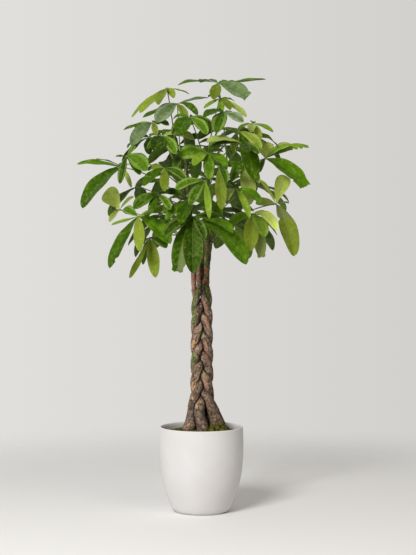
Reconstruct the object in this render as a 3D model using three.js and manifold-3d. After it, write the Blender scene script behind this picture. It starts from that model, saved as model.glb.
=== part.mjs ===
// A braided money tree in a plain tapered pot. Millimetres, +Z up, origin at the centre of the
// pot's underside, -Y towards the viewer.
import * as THREE from "three";
import { mergeVertices } from "three/addons/utils/BufferGeometryUtils.js";
import Module from "manifold-3d";

const wasm = await Module();
wasm.setup();

// Pot
const potHeight = 302;
const potFootRadius = 90;
const potFootCorner = 24;
const potFootFlare = 22;
const potBellyRadius = 151;
const potBellyHeight = 238;
const potRimRadius = 149;
const potRimRound = 3;
const potWall = 8;
const potFloor = 14;
const potInnerCorner = 20;
const potFacets = 26;

// Handles of the curves of the pot's outline: out at the foot, out and up its side, up to the belly and
// up to the rim
const footHandle = 12;
const sideHandle = [18, 72];
const bellyHandle = 118;
const shoulderHandle = 275;

// Soil
const fitGap = 0.35;
const soilEdge = 274;
const soilRise = 8;
const stemHoleDepth = 55;

// Moss: a pad with soft mounds, a wavy edge, and taller mounds where it climbs the feet of the stems
const mossRadius = 124;
const mossThickness = 7;
const mossEdgeThickness = 2.5;
const mossSwell = 3;
const mossRipple = 2;
const mossEdgeSwell = 7;
const mossEdgeRipple = 4;
const mossFacets = 24;
const mossRings = [0, 0.34, 0.62, 0.88];
const mossMounds = [
  { at: [74, -40], height: 30, width: 26.5 },
  { at: [22, -66], height: 14, width: 15.5 },
  { at: [6, 68], height: 14, width: 30 },
];

// Stems: their feet in the soil, the braid, and the leading shoots above it
const stemFacets = 8;
const stemCount = 5;
const stemFootHeight = 300;
const stemStep = 36;
const shootSteps = 6;
const flareTop = 450;
const flarePower = 1.7;
const braidPeriod = 340;
const braidStart = 609;
const braidReach = 24.5;
const braidDepth = 16;
const braidAxis = 2;
const braidEnd = 745;
const neckHeight = 850;
const shootPower = 1.4;
const stemRadii = [
  [flareTop, 17],
  [700, 14.5],
  [753, 12.5],
  [800, 9.2],
  [900, 8.4],
  [1340, 4.6],
];
const stems = [
  { foot: [66, -12, 30], neck: [18.5, -12], tip: [20, -60, 1260] },
  { foot: [-22, 40, 26], neck: [-28, 4], tip: [-60, 50, 1300] },
  { foot: [-43, -16, 26], neck: [-10.5, -8], tip: [-85, -30, 1230] },
  { foot: [7, -44, 22], neck: [3, 18], tip: [45, 30, 1340] },
  { foot: [42, 44, 27], neck: [21, 11], tip: [95, 10, 1250] },
];

// Leaf stalks: they leave a stem some way below their hub, lower the further out the hub stands
const stalkFacets = 4;
const stalkSteps = 3;
const stalkRadius = 2.3;
const stalkSwell = 0.5;
const stalkDrop = 30;
const stalkFall = 0.45;
const stalkArch = 0.16;
const stalkShortest = 60;
const highestCommonBase = 1200;
const lowestLeafBase = 945;
const leafBaseBelowTip = 8;

// Leaflets: width and fold as shares of the length and the half width, and the powers that shape the outline
const hubRadius = 5;
const hubHalf = 2.6;
const leafletThickness = 1;
const leafletWidth = 0.35;
const leafletFold = 0.27;
const leafletBasePower = 1.15;
const leafletTipPower = 0.6;
const leafletRows = [[0.42, [-1, 0, 1]], [0.74, [-1, 0, 1]], [1, [0]]];

// The leaves of the front: hub, the facing and tilt of the hand in degrees, how far its leaflets arch, and
// each leaflet's tip from the hub. A tip may be followed by how far the leaflet's face is turned towards
// the viewer (0 to 1), by a factor of its width and by its own arch.
const frontLeaves = [
  { hub: [60, 0, 1528], facing: -90, tilt: 12, arch: 0.05,
    tips: [[-142, -30, -9], [171, 20, 19, 0, 1, -0.03], [106, -60, -56, 0.7, 1.15], [-15, -95, -68],
      [-63, 110, 19], [70, 115, 10]] },
  { hub: [-122, -20, 1506], facing: -130, tilt: 35, arch: 0.1,
    tips: [[-124, -10, -100, 0, 0.7, 0.03], [-92, -70, -91, 0.35, 0.75, 0.03], [-23, -85, -75, 0, 1.1],
      [13, -70, -38], [80, 20, -17, 0, 0.6, 0.04], [-25, 80, -25]] },
  { hub: [-84, -60, 1447], facing: -100, tilt: 30, arch: 0.08,
    tips: [[-125, -25, -34, 0, 0.6, 0], [-76, -70, -60, 0.9, 1.25], [33, -50, -60],
      [72, -60, -45, 0, 0.8, 0.14], [110, 45, 28, 0, 0.6, 0.02], [-50, 80, -20]] },
  { hub: [67, -60, 1466], facing: -80, tilt: 38, arch: 0.1,
    tips: [[-57, -50, -39, 0, 0.6, 0.02], [-26, -45, -64], [29, -50, -59], [92, -30, -66, 0, 0.7, 0.04],
      [53, 50, -4, 0, 0.7, 0.05], [-40, 70, 5]] },
  { hub: [181, -40, 1378], facing: -80, tilt: 45, arch: 0.1,
    tips: [[-56, -40, -30, 0, 0.6, 0.12], [-8, -75, -36], [25, -50, -61], [65, -30, -43, 0, 0.75, 0.08],
      [5, 60, 10]] },
  { hub: [80, -150, 1408], facing: -95, tilt: 40, arch: 0.1,
    tips: [[-27, -85, -78, 0, 1.3], [65, -60, -38, 0.7, 0.9, 0.03], [-68, -60, -33], [50, 70, 5],
      [-45, 70, 5]] },
  { hub: [-40, -165, 1388], facing: -88, tilt: 45, arch: 0.1,
    tips: [[-34, -90, -65, 0, 1.4], [49, -85, -61, 0, 1.15], [-62, -50, -55], [78, 20, -24],
      [-60, 60, 0], [30, 80, 5]] },
  { hub: [-171, -70, 1379], facing: -120, tilt: 42, arch: 0.1,
    tips: [[-70, -70, -83, 0.9], [-100, -20, -25, 0, 0.6, 0.03], [16, -45, -48], [70, -60, -18],
      [20, 85, 5], [-64, 10, -13, 0.5, 0.9, 0.04]] },
  { hub: [-136, -160, 1324], facing: -95, tilt: 45, arch: 0.1,
    tips: [[-19, -85, -59, 0.4, 1.4], [49, -60, -64, 0, 1.2], [-51, -50, -42, 0, 0.6, 0.12],
      [105, -30, -41, 0, 0.9, 0.12], [-30, 70, 5], [30, 70, 5]] },
  { hub: [-262, -60, 1262], facing: -115, tilt: 45, arch: 0.1,
    tips: [[-22, -35, -96, 0.4, 0.8], [75, -80, -53, 0.5, 1.35], [45, -40, -71],
      [-41, 30, 4, 0, 0.6, 0], [28, 20, 40, 0.5, 0.9, 0]] },
  { hub: [-284, 0, 1228], facing: -135, tilt: 35, arch: 0.1,
    tips: [[-90, -70, 23, 0, 0.6, 0.06], [-161, 25, 17, 0, 0.6, 0.04], [-136, -40, -143, 0.2, 1.15],
      [36, -20, -72, 0, 0.6], [60, 90, 5], [-40, 120, -15]] },
  { hub: [-296, 60, 1078], facing: -110, tilt: 55, arch: 0.08,
    tips: [[-52, 15, 71, 1, 1.9], [-33, -40, -43], [51, 20, 51, 0, 0.5], [-32, 20, -11, 0, 0.9]] },
  { hub: [-222, -80, 1050], facing: -110, tilt: 40, arch: 0.1,
    tips: [[-96, -50, -176, 0, 0.65, 0.07], [-92, -15, -28, 0, 0.6, -0.02], [12, -80, -121, 0, 0.8],
      [99, -70, -105], [117, -20, 27, 0, 1, 0.04], [-53, 60, 32, 0.5, 1.2, 0.02]] },
  { hub: [-183, -30, 975], facing: -100, tilt: 50, arch: 0.1,
    tips: [[23, -50, -136, 0, 0.85], [-70, -20, -138, 0, 0.45, -0.05], [-27, 60, -92, 0, 0.7],
      [62, -60, -34, 0, 1.2], [26, -80, -64, 0, 1.3], [-35, 20, -32]] },
  { hub: [-28, -170, 1045], facing: -90, tilt: 58, arch: 0.1,
    tips: [[1, -60, -188], [-54, -10, -186], [42, -60, -73], [-95, -50, -60], [90, 20, -40],
      [-50, 80, -10]] },
  { hub: [5, -180, 1029], facing: -65, tilt: 50, arch: 0.12,
    tips: [[149, -50, -142, 0, 1.1, 0.14], [50, -60, -74, 0.3, 1.1], [-40, 60, -40],
      [103, -90, -37, 0, 0.8], [-60, 70, -5]] },
  { hub: [181, -60, 1059], facing: -70, tilt: 50, arch: 0.1,
    tips: [[-13, -60, -129, 0, 1.1], [38, -95, -79, 0, 1.15], [72, -55, -78, 0, 1, 0.2],
      [31, -10, -151, 0, 0.95], [-80, -40, -50], [68, 70, 6]] },
  { hub: [265, -20, 1096], facing: -60, tilt: 50, arch: 0.08,
    tips: [[62, -40, -181, 0, 1.05, 0.12], [38, 30, 104, 1, 1.35], [43, -50, 2, 0, 1, 0.02],
      [-72, -10, 3, 0.6, 1.2], [-57, 20, 88, 0, 0.5], [36, 50, -84]] },
  { hub: [228, 0, 1258], facing: -60, tilt: 35, arch: 0.11,
    tips: [[138, -60, -102, 0.4, 1, 0.1], [95, 0, 50], [159, 35, 49, 0, 0.6, 0.06],
      [-31, -10, 67, 0.8, 1.5], [24, 60, 62], [-23, -85, -52, 0, 0.5]] },
  { hub: [131, -140, 1340], facing: -80, tilt: 60, arch: 0.1,
    tips: [[30, -40, -168], [-20, 60, -60], [75, -50, -60], [-70, 20, -20, 0, 0.7], [40, 70, 10]] },
  { hub: [136, -185, 1298], facing: -95, tilt: 35, arch: 0.08,
    tips: [[-111, -15, -17], [-112, -55, -33], [60, -60, -40], [20, -90, -50], [40, 80, 5]] },
  { hub: [24, -160, 1264], facing: -80, tilt: 45, arch: 0.1,
    tips: [[63, -80, -52], [-50, -75, -45], [-100, -10, -7, 0.7, 1.5], [5, -80, -80], [60, 50, 5]] },
  { hub: [62, -200, 1218], facing: -90, tilt: 50, arch: 0.1,
    tips: [[-68, -60, -55], [24, -70, -60], [8, -50, -148, 0, 0.7], [75, -40, -20], [-40, 60, 10],
      [40, 60, 10]] },
  { hub: [-126, -160, 1212], facing: -95, tilt: 55, arch: 0.1,
    tips: [[2, -50, -80], [-70, -50, -60], [70, -50, -50], [-60, 50, 0], [50, 60, 5]] },
  { hub: [14, -215, 1166], facing: -95, tilt: 48, arch: 0.1,
    tips: [[-98, -50, -30], [-54, -70, -75], [15, -80, -128, 0, 0.45], [75, -40, -14], [0, 80, 10]] },
  { hub: [150, -110, 1245], facing: -75, tilt: 55, arch: 0.1,
    tips: [[-7, -50, -154], [55, -60, -76, 0, 0.7], [-70, -50, -60], [51, 20, -8], [0, 80, 5]] },
  { hub: [-150, -130, 1124], facing: -105, tilt: 50, arch: 0.1,
    tips: [[-81, -40, -48, 0.5, 1.2], [-28, -40, -65], [35, -40, -58], [80, -20, -20], [0, 80, 5]] },
  { hub: [120, -170, 1142], facing: -75, tilt: 50, arch: 0.1,
    tips: [[-60, -60, -60], [45, -70, -99, 0, 0.6], [80, -50, -60], [-60, 50, 0], [60, 50, 5]] },
];

// The rest of the crown, in tiers: height, how far its hubs stand out, the span of directions they fill in
// degrees, the number of leaves and the length of a leaflet
const tiers = [
  { height: 1035, reach: 215, from: 30, to: 150, leaves: 5, length: 160 },
  { height: 1190, reach: 255, from: 35, to: 145, leaves: 5, length: 155 },
  { height: 1330, reach: 205, from: 25, to: 155, leaves: 4, length: 140 },
  { height: 1400, reach: 115, from: 50, to: 130, leaves: 2, length: 115 },
  { height: 1120, reach: 120, from: 60, to: 250, leaves: 3, length: 140 },
  { height: 1290, reach: 95, from: 100, to: 240, leaves: 2, length: 130 },
];
const tierLeaflets = 5;
const tierTilt = 30;
const tierArch = 0.1;
const tierHang = 0.3;
const innerShorter = 0.14;

// How far a leaf of a tier strays: degrees, millimetres, or a share
const stray = { facing: 6, reach: 0.1, height: 35, tilt: 12, swing: 8, length: 0.07, hang: 0.1 };

const degree = Math.PI / 180;
const fullTurn = 2 * Math.PI;
const up = new THREE.Vector3(0, 0, 1);
const towardsViewer = new THREE.Vector3(0, -1, 0);

// A fixed draw from -1 to 1 for one thing of one leaf
function vary(item, draw) {
  const value = Math.sin(item * 12.9898 + draw * 78.233) * 43758.5453;
  return 2 * (value - Math.floor(value)) - 1;
}

// A value read from rows of [place, value], straight between them
function readRows(rows, place) {
  const next = rows.findIndex((row) => row[0] >= place);
  if (next === 0) return rows[0][1];
  if (next < 0) return rows[rows.length - 1][1];
  const [lowPlace, low] = rows[next - 1];
  const [highPlace, high] = rows[next];
  return THREE.MathUtils.lerp(low, high, (place - lowPlace) / (highPlace - lowPlace));
}

// A geometry with shared corners joined and collapsed triangles dropped
function closed(geometry) {
  const bare = new THREE.BufferGeometry();
  bare.setAttribute("position", geometry.getAttribute("position"));
  if (geometry.index) bare.setIndex(geometry.index);
  const joined = mergeVertices(bare, 1e-3);
  const corners = joined.index.array;
  const kept = [];
  for (let i = 0; i < corners.length; i += 3) {
    const [a, b, c] = corners.slice(i, i + 3);
    if (a !== b && b !== c && c !== a) kept.push(a, b, c);
  }
  joined.setIndex(kept);
  return joined;
}

function solidOf(geometry) {
  const joined = closed(geometry);
  return new wasm.Manifold(
    new wasm.Mesh({
      numProp: 3,
      vertProperties: joined.attributes.position.array,
      triVerts: new Uint32Array(joined.index.array),
    }),
  );
}

function geometryOf(solid) {
  const mesh = solid.getMesh();
  const geometry = new THREE.BufferGeometry();
  geometry.setAttribute("position", new THREE.BufferAttribute(mesh.vertProperties, 3));
  geometry.setIndex(new THREE.BufferAttribute(mesh.triVerts, 1));
  const faceted = geometry.toNonIndexed();
  faceted.computeVertexNormals();
  return faceted;
}

// Moves every corner of a geometry to where place() puts it
function reshaped(geometry, place) {
  const position = geometry.getAttribute("position");
  const corner = new THREE.Vector3();
  for (let i = 0; i < position.count; i += 1) {
    const moved = place(corner.fromBufferAttribute(position, i));
    position.setXYZ(i, moved.x, moved.y, moved.z);
  }
  return geometry;
}

function turned(profile, facets) {
  return new THREE.LatheGeometry(profile, facets).rotateX(Math.PI / 2);
}

// Pot
function potOutline() {
  const footTop = new THREE.Vector2(potFootRadius + potFootFlare, potFootCorner);
  const belly = new THREE.Vector2(potBellyRadius, potBellyHeight);
  const rim = new THREE.Vector2(potRimRadius, potHeight - potRimRound);
  const corner = new THREE.QuadraticBezierCurve(
    new THREE.Vector2(potFootRadius, 0),
    new THREE.Vector2(potFootRadius + footHandle, 0),
    footTop,
  );
  const side = new THREE.CubicBezierCurve(
    footTop,
    new THREE.Vector2(footTop.x + sideHandle[0], sideHandle[1]),
    new THREE.Vector2(potBellyRadius, bellyHandle),
    belly,
  );
  const shoulder = new THREE.QuadraticBezierCurve(
    belly,
    new THREE.Vector2(potBellyRadius, shoulderHandle),
    rim,
  );
  return [
    ...corner.getPoints(3),
    ...side.getPoints(4).slice(1),
    ...shoulder.getPoints(2).slice(1),
  ];
}

const outline = potOutline();

function potRadiusAt(height) {
  return readRows(outline.map((point) => [point.y, point.x]), height);
}

// The inside of the pot from its floor up to the rim, drawn in by a clearance
function potInside(clearance) {
  const wallPoints = outline
    .slice(0, -1)
    .filter((point) => point.y > potFloor + potInnerCorner)
    .map((point) => new THREE.Vector2(point.x - potWall - clearance, point.y));
  const floorRadius = potRadiusAt(potFloor) - potWall - clearance;
  return [new THREE.Vector2(floorRadius, potFloor + clearance), ...wallPoints];
}

function makePot() {
  const rim = new THREE.EllipseCurve(
    potRimRadius - potRimRound,
    potHeight - potRimRound,
    potRimRound,
    potRimRound,
    0,
    Math.PI,
  );
  const profile = [
    new THREE.Vector2(0, 0),
    ...outline.slice(0, -1),
    ...rim.getPoints(3),
    ...potInside(0).reverse(),
    new THREE.Vector2(0, potFloor),
  ];
  return solidOf(turned(profile, potFacets));
}

// Soil and moss
function soilHeight(radius) {
  const reach = potRadiusAt(soilEdge) - potWall;
  return soilEdge + soilRise * (1 - (radius / reach) ** 2);
}

function makeSoil() {
  const wall = potInside(fitGap).filter((point) => point.y <= potBellyHeight);
  const edgeRadius = potRadiusAt(soilEdge) - potWall - fitGap;
  const top = [1, 0.5].map(
    (share) => new THREE.Vector2(edgeRadius * share, soilHeight(edgeRadius * share)),
  );
  const profile = [
    new THREE.Vector2(0, potFloor + fitGap),
    ...wall,
    ...top,
    new THREE.Vector2(0, soilHeight(0)),
  ];
  const filling = solidOf(turned(profile, potFacets));
  return stems.reduce((left, _, k) => left.subtract(roundStem(k, fitGap)), filling);
}

function mossTop(x, y) {
  const swell = mossSwell * Math.sin(x / 19 + 1) * Math.sin(y / 23 + 2);
  const ripple = mossRipple * Math.sin(x / 11 - y / 13);
  const climb = mossMounds.reduce((sum, { at, height, width }) => {
    const away = Math.hypot(x - at[0], y - at[1]) / width;
    return sum + height * Math.exp(-(away ** 2));
  }, 0);
  return soilHeight(Math.hypot(x, y)) + mossThickness + swell + ripple + climb;
}

function mossReach(turn) {
  return mossRadius + mossEdgeSwell * Math.sin(3 * turn + 1) + mossEdgeRipple * Math.sin(7 * turn);
}

function makeMoss() {
  const profile = [
    ...mossRings.map((share) => new THREE.Vector2(share, -1)),
    new THREE.Vector2(1, -1),
    new THREE.Vector2(1, 1),
    ...mossRings.map((share) => new THREE.Vector2(share, 1)).reverse(),
  ];
  const lastRing = mossRings[mossRings.length - 1];
  const pad = reshaped(turned(profile, mossFacets), (corner) => {
    const share = Math.hypot(corner.x, corner.y);
    const turn = Math.atan2(corner.y, corner.x);
    const radius = share * mossReach(turn);
    const x = radius * Math.cos(turn);
    const y = radius * Math.sin(turn);
    const ground = soilHeight(radius) + fitGap;
    const isEdge = share > (1 + lastRing) / 2;
    const top = isEdge ? ground + mossEdgeThickness : mossTop(x, y);
    return corner.set(x, y, corner.z > 0 ? top : ground);
  });
  return stems.reduce((left, _, k) => left.subtract(roundStem(k, fitGap)), solidOf(pad));
}

// Stems
function flareOut(height) {
  return Math.min(1, (flareTop - height) / (flareTop - stemFootHeight)) ** flarePower;
}

function stemCentre(k, height) {
  const { foot, neck, tip } = stems[k];
  const turn = ((height - braidStart) / braidPeriod + k / stemCount) * fullTurn;
  const braid = new THREE.Vector2(
    braidAxis + braidReach * Math.sin(turn),
    braidDepth * Math.sin(2 * turn),
  );
  if (height < flareTop) {
    return braid.lerp(new THREE.Vector2(foot[0], foot[1]), flareOut(height));
  }
  if (height < neckHeight) {
    const leave = THREE.MathUtils.smoothstep(height, braidEnd, neckHeight);
    return braid.lerp(new THREE.Vector2(...neck), leave);
  }
  const rise = Math.min(1, (height - neckHeight) / (tip[2] - neckHeight));
  return new THREE.Vector2(...neck).lerp(new THREE.Vector2(tip[0], tip[1]), rise ** shootPower);
}

function stemRadius(k, height) {
  if (height >= flareTop) return readRows(stemRadii, height);
  return THREE.MathUtils.lerp(stemRadii[0][1], stems[k].foot[2], flareOut(height));
}

function stemHeights(k) {
  const heights = [soilEdge - stemHoleDepth];
  for (let height = stemFootHeight; height < neckHeight - stemStep / 2; height += stemStep) {
    heights.push(height);
  }
  for (let step = 0; step <= shootSteps; step += 1) {
    heights.push(THREE.MathUtils.lerp(neckHeight, stems[k].tip[2], step / shootSteps));
  }
  return heights;
}

// Stem k as a round shoot, grown outwards by a clearance where its neighbour is fitted to it
function roundStem(k, clearance = 0) {
  const heights = stemHeights(k);
  const steps = heights.length - 1;
  const tube = new THREE.CylinderGeometry(1, 1, 1, stemFacets, steps);
  return solidOf(
    reshaped(tube, (corner) => {
      const row = Math.round((corner.y + 0.5) * steps);
      const height = heights[row];
      const turn = Math.atan2(-corner.z, corner.x);
      const out = Math.hypot(corner.x, corner.z);
      const end = row === 0 ? -clearance : row === steps ? clearance : 0;
      const reach = out * (stemRadius(k, height) + clearance);
      const centre = stemCentre(k, height);
      return corner.set(
        centre.x + reach * Math.cos(turn),
        centre.y + reach * Math.sin(turn),
        height + end,
      );
    }),
  );
}

// The stems have grown into each other: each one fits against those before it
function makeStem(k) {
  const before = stems.slice(0, k).map((_, other) => roundStem(other, fitGap));
  return before.reduce((left, other) => left.subtract(other), roundStem(k));
}

// Room around what already stands: points with a radius, kept in cells
class Room {
  constructor() {
    this.cell = 32;
    this.cells = new Map();
  }

  key(x, y, z) {
    return `${Math.floor(x / this.cell)},${Math.floor(y / this.cell)},${Math.floor(z / this.cell)}`;
  }

  fill(points, radius, owner) {
    for (const point of points) {
      const key = this.key(point.x, point.y, point.z);
      if (!this.cells.has(key)) this.cells.set(key, []);
      this.cells.get(key).push({ point, radius, owner });
    }
  }

  // Whether points with this radius stay clear of everything but what their owner holds
  isClear(points, radius, owner) {
    return points.every((point) => {
      for (const dx of [-this.cell, 0, this.cell]) {
        for (const dy of [-this.cell, 0, this.cell]) {
          for (const dz of [-this.cell, 0, this.cell]) {
            const near = this.cells.get(this.key(point.x + dx, point.y + dy, point.z + dz)) ?? [];
            const hit = near.some(
              (bead) => bead.owner !== owner && bead.point.distanceTo(point) < bead.radius + radius,
            );
            if (hit) return false;
          }
        }
      }
      return true;
    });
  }
}

// The radius that each kind of piece keeps free, the steps between its points, and the share of a leaflet
// from which it has to be clear of other leaves and of its own hand
const room = new Room();
const bladeRoom = 3.5;
const stalkRoom = 5.3;
const handRoom = 3.2;
const stemRoom = 2;
const bladeStep = 5;
const bladeSideStep = 5;
const stalkStep = 6;
const stemRoomStep = 8;
const stemRoomFoot = 800;
const clearOfOthersFrom = 0.12;
const clearOfHandFrom = 0.3;

// Leaf stalks
const stalkBows = [0, 0.14, -0.14, 0.26, -0.26];
const stalkShifts = [0, -14, 14, -28, 28, -42, 42, -56, -70, -84, -98];
const stalkTries = stalkBows.flatMap((bow) => stalkShifts.map((shift) => ({ bow, shift })));

function stemFor(hub) {
  const low = Math.min(hub.z - stalkShortest, highestCommonBase);
  const spread = stems.map((_, k) => stemCentre(k, low).distanceTo(new THREE.Vector2(hub.x, hub.y)));
  return spread.indexOf(Math.min(...spread));
}

function stalkCurve(hub, stem, { bow, shift }) {
  const top = stems[stem].tip[2] - leafBaseBelowTip;
  const flat = stemCentre(stem, Math.min(hub.z, top)).distanceTo(new THREE.Vector2(hub.x, hub.y));
  const wanted = THREE.MathUtils.clamp(hub.z - stalkDrop - stalkFall * flat, lowestLeafBase, top);
  const base = THREE.MathUtils.clamp(wanted + shift, lowestLeafBase, top);
  const centre = stemCentre(stem, base);
  const start = new THREE.Vector3(centre.x, centre.y, base);
  const span = hub.clone().sub(start);
  const side = new THREE.Vector3().crossVectors(span, up).normalize();
  const length = span.length();
  const middle = start
    .clone()
    .addScaledVector(span, 0.5)
    .addScaledVector(up, stalkArch * length)
    .addScaledVector(side, bow * length);
  return new THREE.QuadraticBezierCurve3(start, middle, hub);
}

// Points along a stalk, without those inside its own stem
function stalkPoints(curve, stem) {
  const points = curve.getPoints(Math.ceil(curve.getLength() / stalkStep));
  return points.filter((point) => {
    const centre = stemCentre(stem, point.z);
    const inside = Math.hypot(point.x - centre.x, point.y - centre.y) < stemRadius(stem, point.z);
    return point.z > stems[stem].tip[2] || !inside;
  });
}

function makeStalk(curve) {
  const tube = new THREE.CylinderGeometry(1, 1, 1, stalkFacets, stalkSteps);
  const aside = new THREE.Vector3(0.3, 1, 0);
  return solidOf(
    reshaped(tube, (corner) => {
      const along = corner.y + 0.5;
      const centre = curve.getPoint(along);
      const direction = curve.getTangent(along);
      const across = aside.clone().cross(direction).normalize();
      const depth = new THREE.Vector3().crossVectors(across, direction);
      const radius = stalkRadius * (1 + stalkSwell * (1 - along) ** 3);
      return centre
        .addScaledVector(across, corner.x * radius)
        .addScaledVector(depth, corner.z * radius);
    }),
  );
}

// Leaflets: what may be tried where one is in the way, as a swing in degrees, a lift as a share of its
// length, and a scale
const leafletTries = [
  [0, 0, 1], [0, -0.12, 1], [0, 0.12, 1], [9, 0, 1], [-9, 0, 1], [9, -0.15, 1], [-9, -0.15, 1],
  [0, -0.25, 1], [0, 0.25, 1], [16, 0, 0.95], [-16, 0, 0.95], [16, -0.25, 0.9], [-16, -0.25, 0.9],
  [0, -0.4, 0.9], [22, 0.1, 0.85], [-22, 0.1, 0.85], [0, 0, 0.72], [0, -0.3, 0.72],
  [20, -0.2, 0.7], [-20, -0.2, 0.7], [0, 0.2, 0.62], [0, -0.2, 0.55],
];

function facingOf({ facing, tilt }) {
  const lean = Math.sin(tilt * degree);
  return new THREE.Vector3(
    lean * Math.cos(facing * degree),
    lean * Math.sin(facing * degree),
    Math.cos(tilt * degree),
  );
}

// The tip after a try: swung about the hand's own axis, raised or lowered, and shortened
function triedTip(tip, normal, [swing, lift, scale]) {
  const length = tip.length();
  return tip
    .clone()
    .applyAxisAngle(normal, swing * degree)
    .addScaledVector(up, lift * length)
    .setLength(length * scale);
}

// The outline is narrow at the base, widest past the middle and pointed at the tip
function leafletHalfWidth({ tip, wide }, along) {
  const outlineAt = (place) => place ** leafletBasePower * (1 - place) ** leafletTipPower;
  const widest = leafletBasePower / (leafletBasePower + leafletTipPower);
  return ((leafletWidth / 2) * wide * tip.length() * outlineAt(along)) / outlineAt(widest);
}

// A point of a leaflet: along its rib from 0 to 1, across it from -1 to 1, above or below its middle
function leafletPoint(hub, leaflet, along, across, above) {
  const { tip, normal, arch } = leaflet;
  const length = tip.length();
  const tangent = tip.clone().addScaledVector(up, arch * length * 4 * (1 - 2 * along)).normalize();
  const side = new THREE.Vector3().crossVectors(tangent, normal).normalize();
  const face = new THREE.Vector3().crossVectors(side, tangent);
  const half = leafletHalfWidth(leaflet, along);
  const rise = Math.abs(across) * half * leafletFold;
  return hub
    .clone()
    .addScaledVector(tip, along)
    .addScaledVector(up, arch * length * 4 * along * (1 - along))
    .addScaledVector(side, across * half)
    .addScaledVector(face, rise + above);
}

function leafletPoints(hub, leaflet, from) {
  const steps = Math.ceil(leaflet.tip.length() / bladeStep);
  const points = [];
  for (let step = Math.ceil(steps * from); step <= steps; step += 1) {
    const along = step / steps;
    const half = leafletHalfWidth(leaflet, along);
    const sides = Math.max(1, Math.ceil(half / bladeSideStep));
    for (let side = -sides; side <= sides; side += 1) {
      points.push(leafletPoint(hub, leaflet, along, side / sides, 0));
    }
  }
  return points;
}

// The ring of corners round a hub: neighbouring leaflets share one, and a wide gap between two has a wall
function hubRing(normal, leaflets) {
  const widestShared = 2.5;
  const ownCorner = 0.7;
  const ahead = leaflets[0].tip.clone().projectOnPlane(normal).normalize();
  const beside = new THREE.Vector3().crossVectors(normal, ahead);
  const placed = leaflets
    .map((leaflet) => ({ leaflet, turn: Math.atan2(leaflet.tip.dot(beside), leaflet.tip.dot(ahead)) }))
    .sort((one, other) => one.turn - other.turn);
  const ring = [];
  placed.forEach((place, i) => {
    const next = placed[(i + 1) % placed.length];
    const gap = (next.turn - place.turn + fullTurn) % fullTurn || fullTurn;
    const shared = gap <= widestShared;
    place.left = ring.length;
    ring.push(place.turn + (shared ? gap / 2 : ownCorner));
    if (!shared) ring.push(next.turn - ownCorner);
    next.right = ring.length - 1;
  });
  const corners = ring.map((turn) =>
    ahead
      .clone()
      .multiplyScalar(hubRadius * Math.cos(turn))
      .addScaledVector(beside, hubRadius * Math.sin(turn)),
  );
  return { placed, corners };
}

// A hand of leaflets as one closed sheet: its corners lie above and below the sheet's middle, in the same
// triangles on both faces, with a wall round the edge
function makeHand({ hub, normal, leaflets }) {
  const { placed, corners } = hubRing(normal, leaflets);
  const upper = [hub.clone().addScaledVector(normal, hubHalf)];
  const lower = [hub.clone().addScaledVector(normal, -hubHalf)];
  for (const corner of corners) {
    upper.push(hub.clone().add(corner).addScaledVector(normal, hubHalf / 2));
    lower.push(hub.clone().add(corner).addScaledVector(normal, -hubHalf / 2));
  }
  const faces = [];
  const edges = [];
  const held = new Set();
  for (const { leaflet, left, right } of placed) {
    const first = upper.length;
    for (const [along, places] of leafletRows) {
      for (const across of places) {
        upper.push(leafletPoint(hub, leaflet, along, across, leafletThickness / 2));
        lower.push(leafletPoint(hub, leaflet, along, across, -leafletThickness / 2));
      }
    }
    const [l, r] = [left + 1, right + 1];
    const [l1, c1, r1, l2, c2, r2, end] = [0, 1, 2, 3, 4, 5, 6].map((i) => first + i);
    faces.push([0, r, l], [l, r, c1], [l, c1, l1], [r, r1, c1], [l1, c1, c2], [l1, c2, l2]);
    faces.push([c1, r1, r2], [c1, r2, c2], [l2, c2, end], [c2, r2, end]);
    edges.push([r, r1], [r1, r2], [r2, end], [end, l2], [l2, l1], [l1, l]);
    held.add(r);
  }
  for (let corner = 1; corner <= corners.length; corner += 1) {
    if (!held.has(corner)) {
      const next = (corner % corners.length) + 1;
      faces.push([0, corner, next]);
      edges.push([corner, next]);
    }
  }
  const count = upper.length;
  const hand = new THREE.BufferGeometry().setFromPoints([...upper, ...lower]);
  hand.setIndex([
    ...faces.flat(),
    ...faces.flatMap(([a, b, c]) => [a + count, c + count, b + count]),
    ...edges.flatMap(([a, b]) => [b, a, a + count, b, a + count, b + count]),
  ]);
  return solidOf(hand);
}

// Leaflets evenly round a hub, the outer ones longest, all hanging a little
function fanTips(item, hub, normal, length) {
  const outward = new THREE.Vector3(hub.x, hub.y, 0).projectOnPlane(normal).normalize();
  const middle = (tierLeaflets - 1) / 2;
  return Array.from({ length: tierLeaflets }, (_, k) => {
    const swing = ((k - middle) * 360) / tierLeaflets + stray.swing * vary(item, 10 + k);
    const share = 1 - innerShorter + innerShorter * Math.cos(swing * degree);
    const size = length * share * (1 + stray.length * vary(item, 20 + k));
    const hang = tierHang + stray.hang * vary(item, 30 + k);
    return outward
      .clone()
      .applyAxisAngle(normal, swing * degree)
      .multiplyScalar(size)
      .addScaledVector(up, -size * hang)
      .setLength(size);
  });
}

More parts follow.
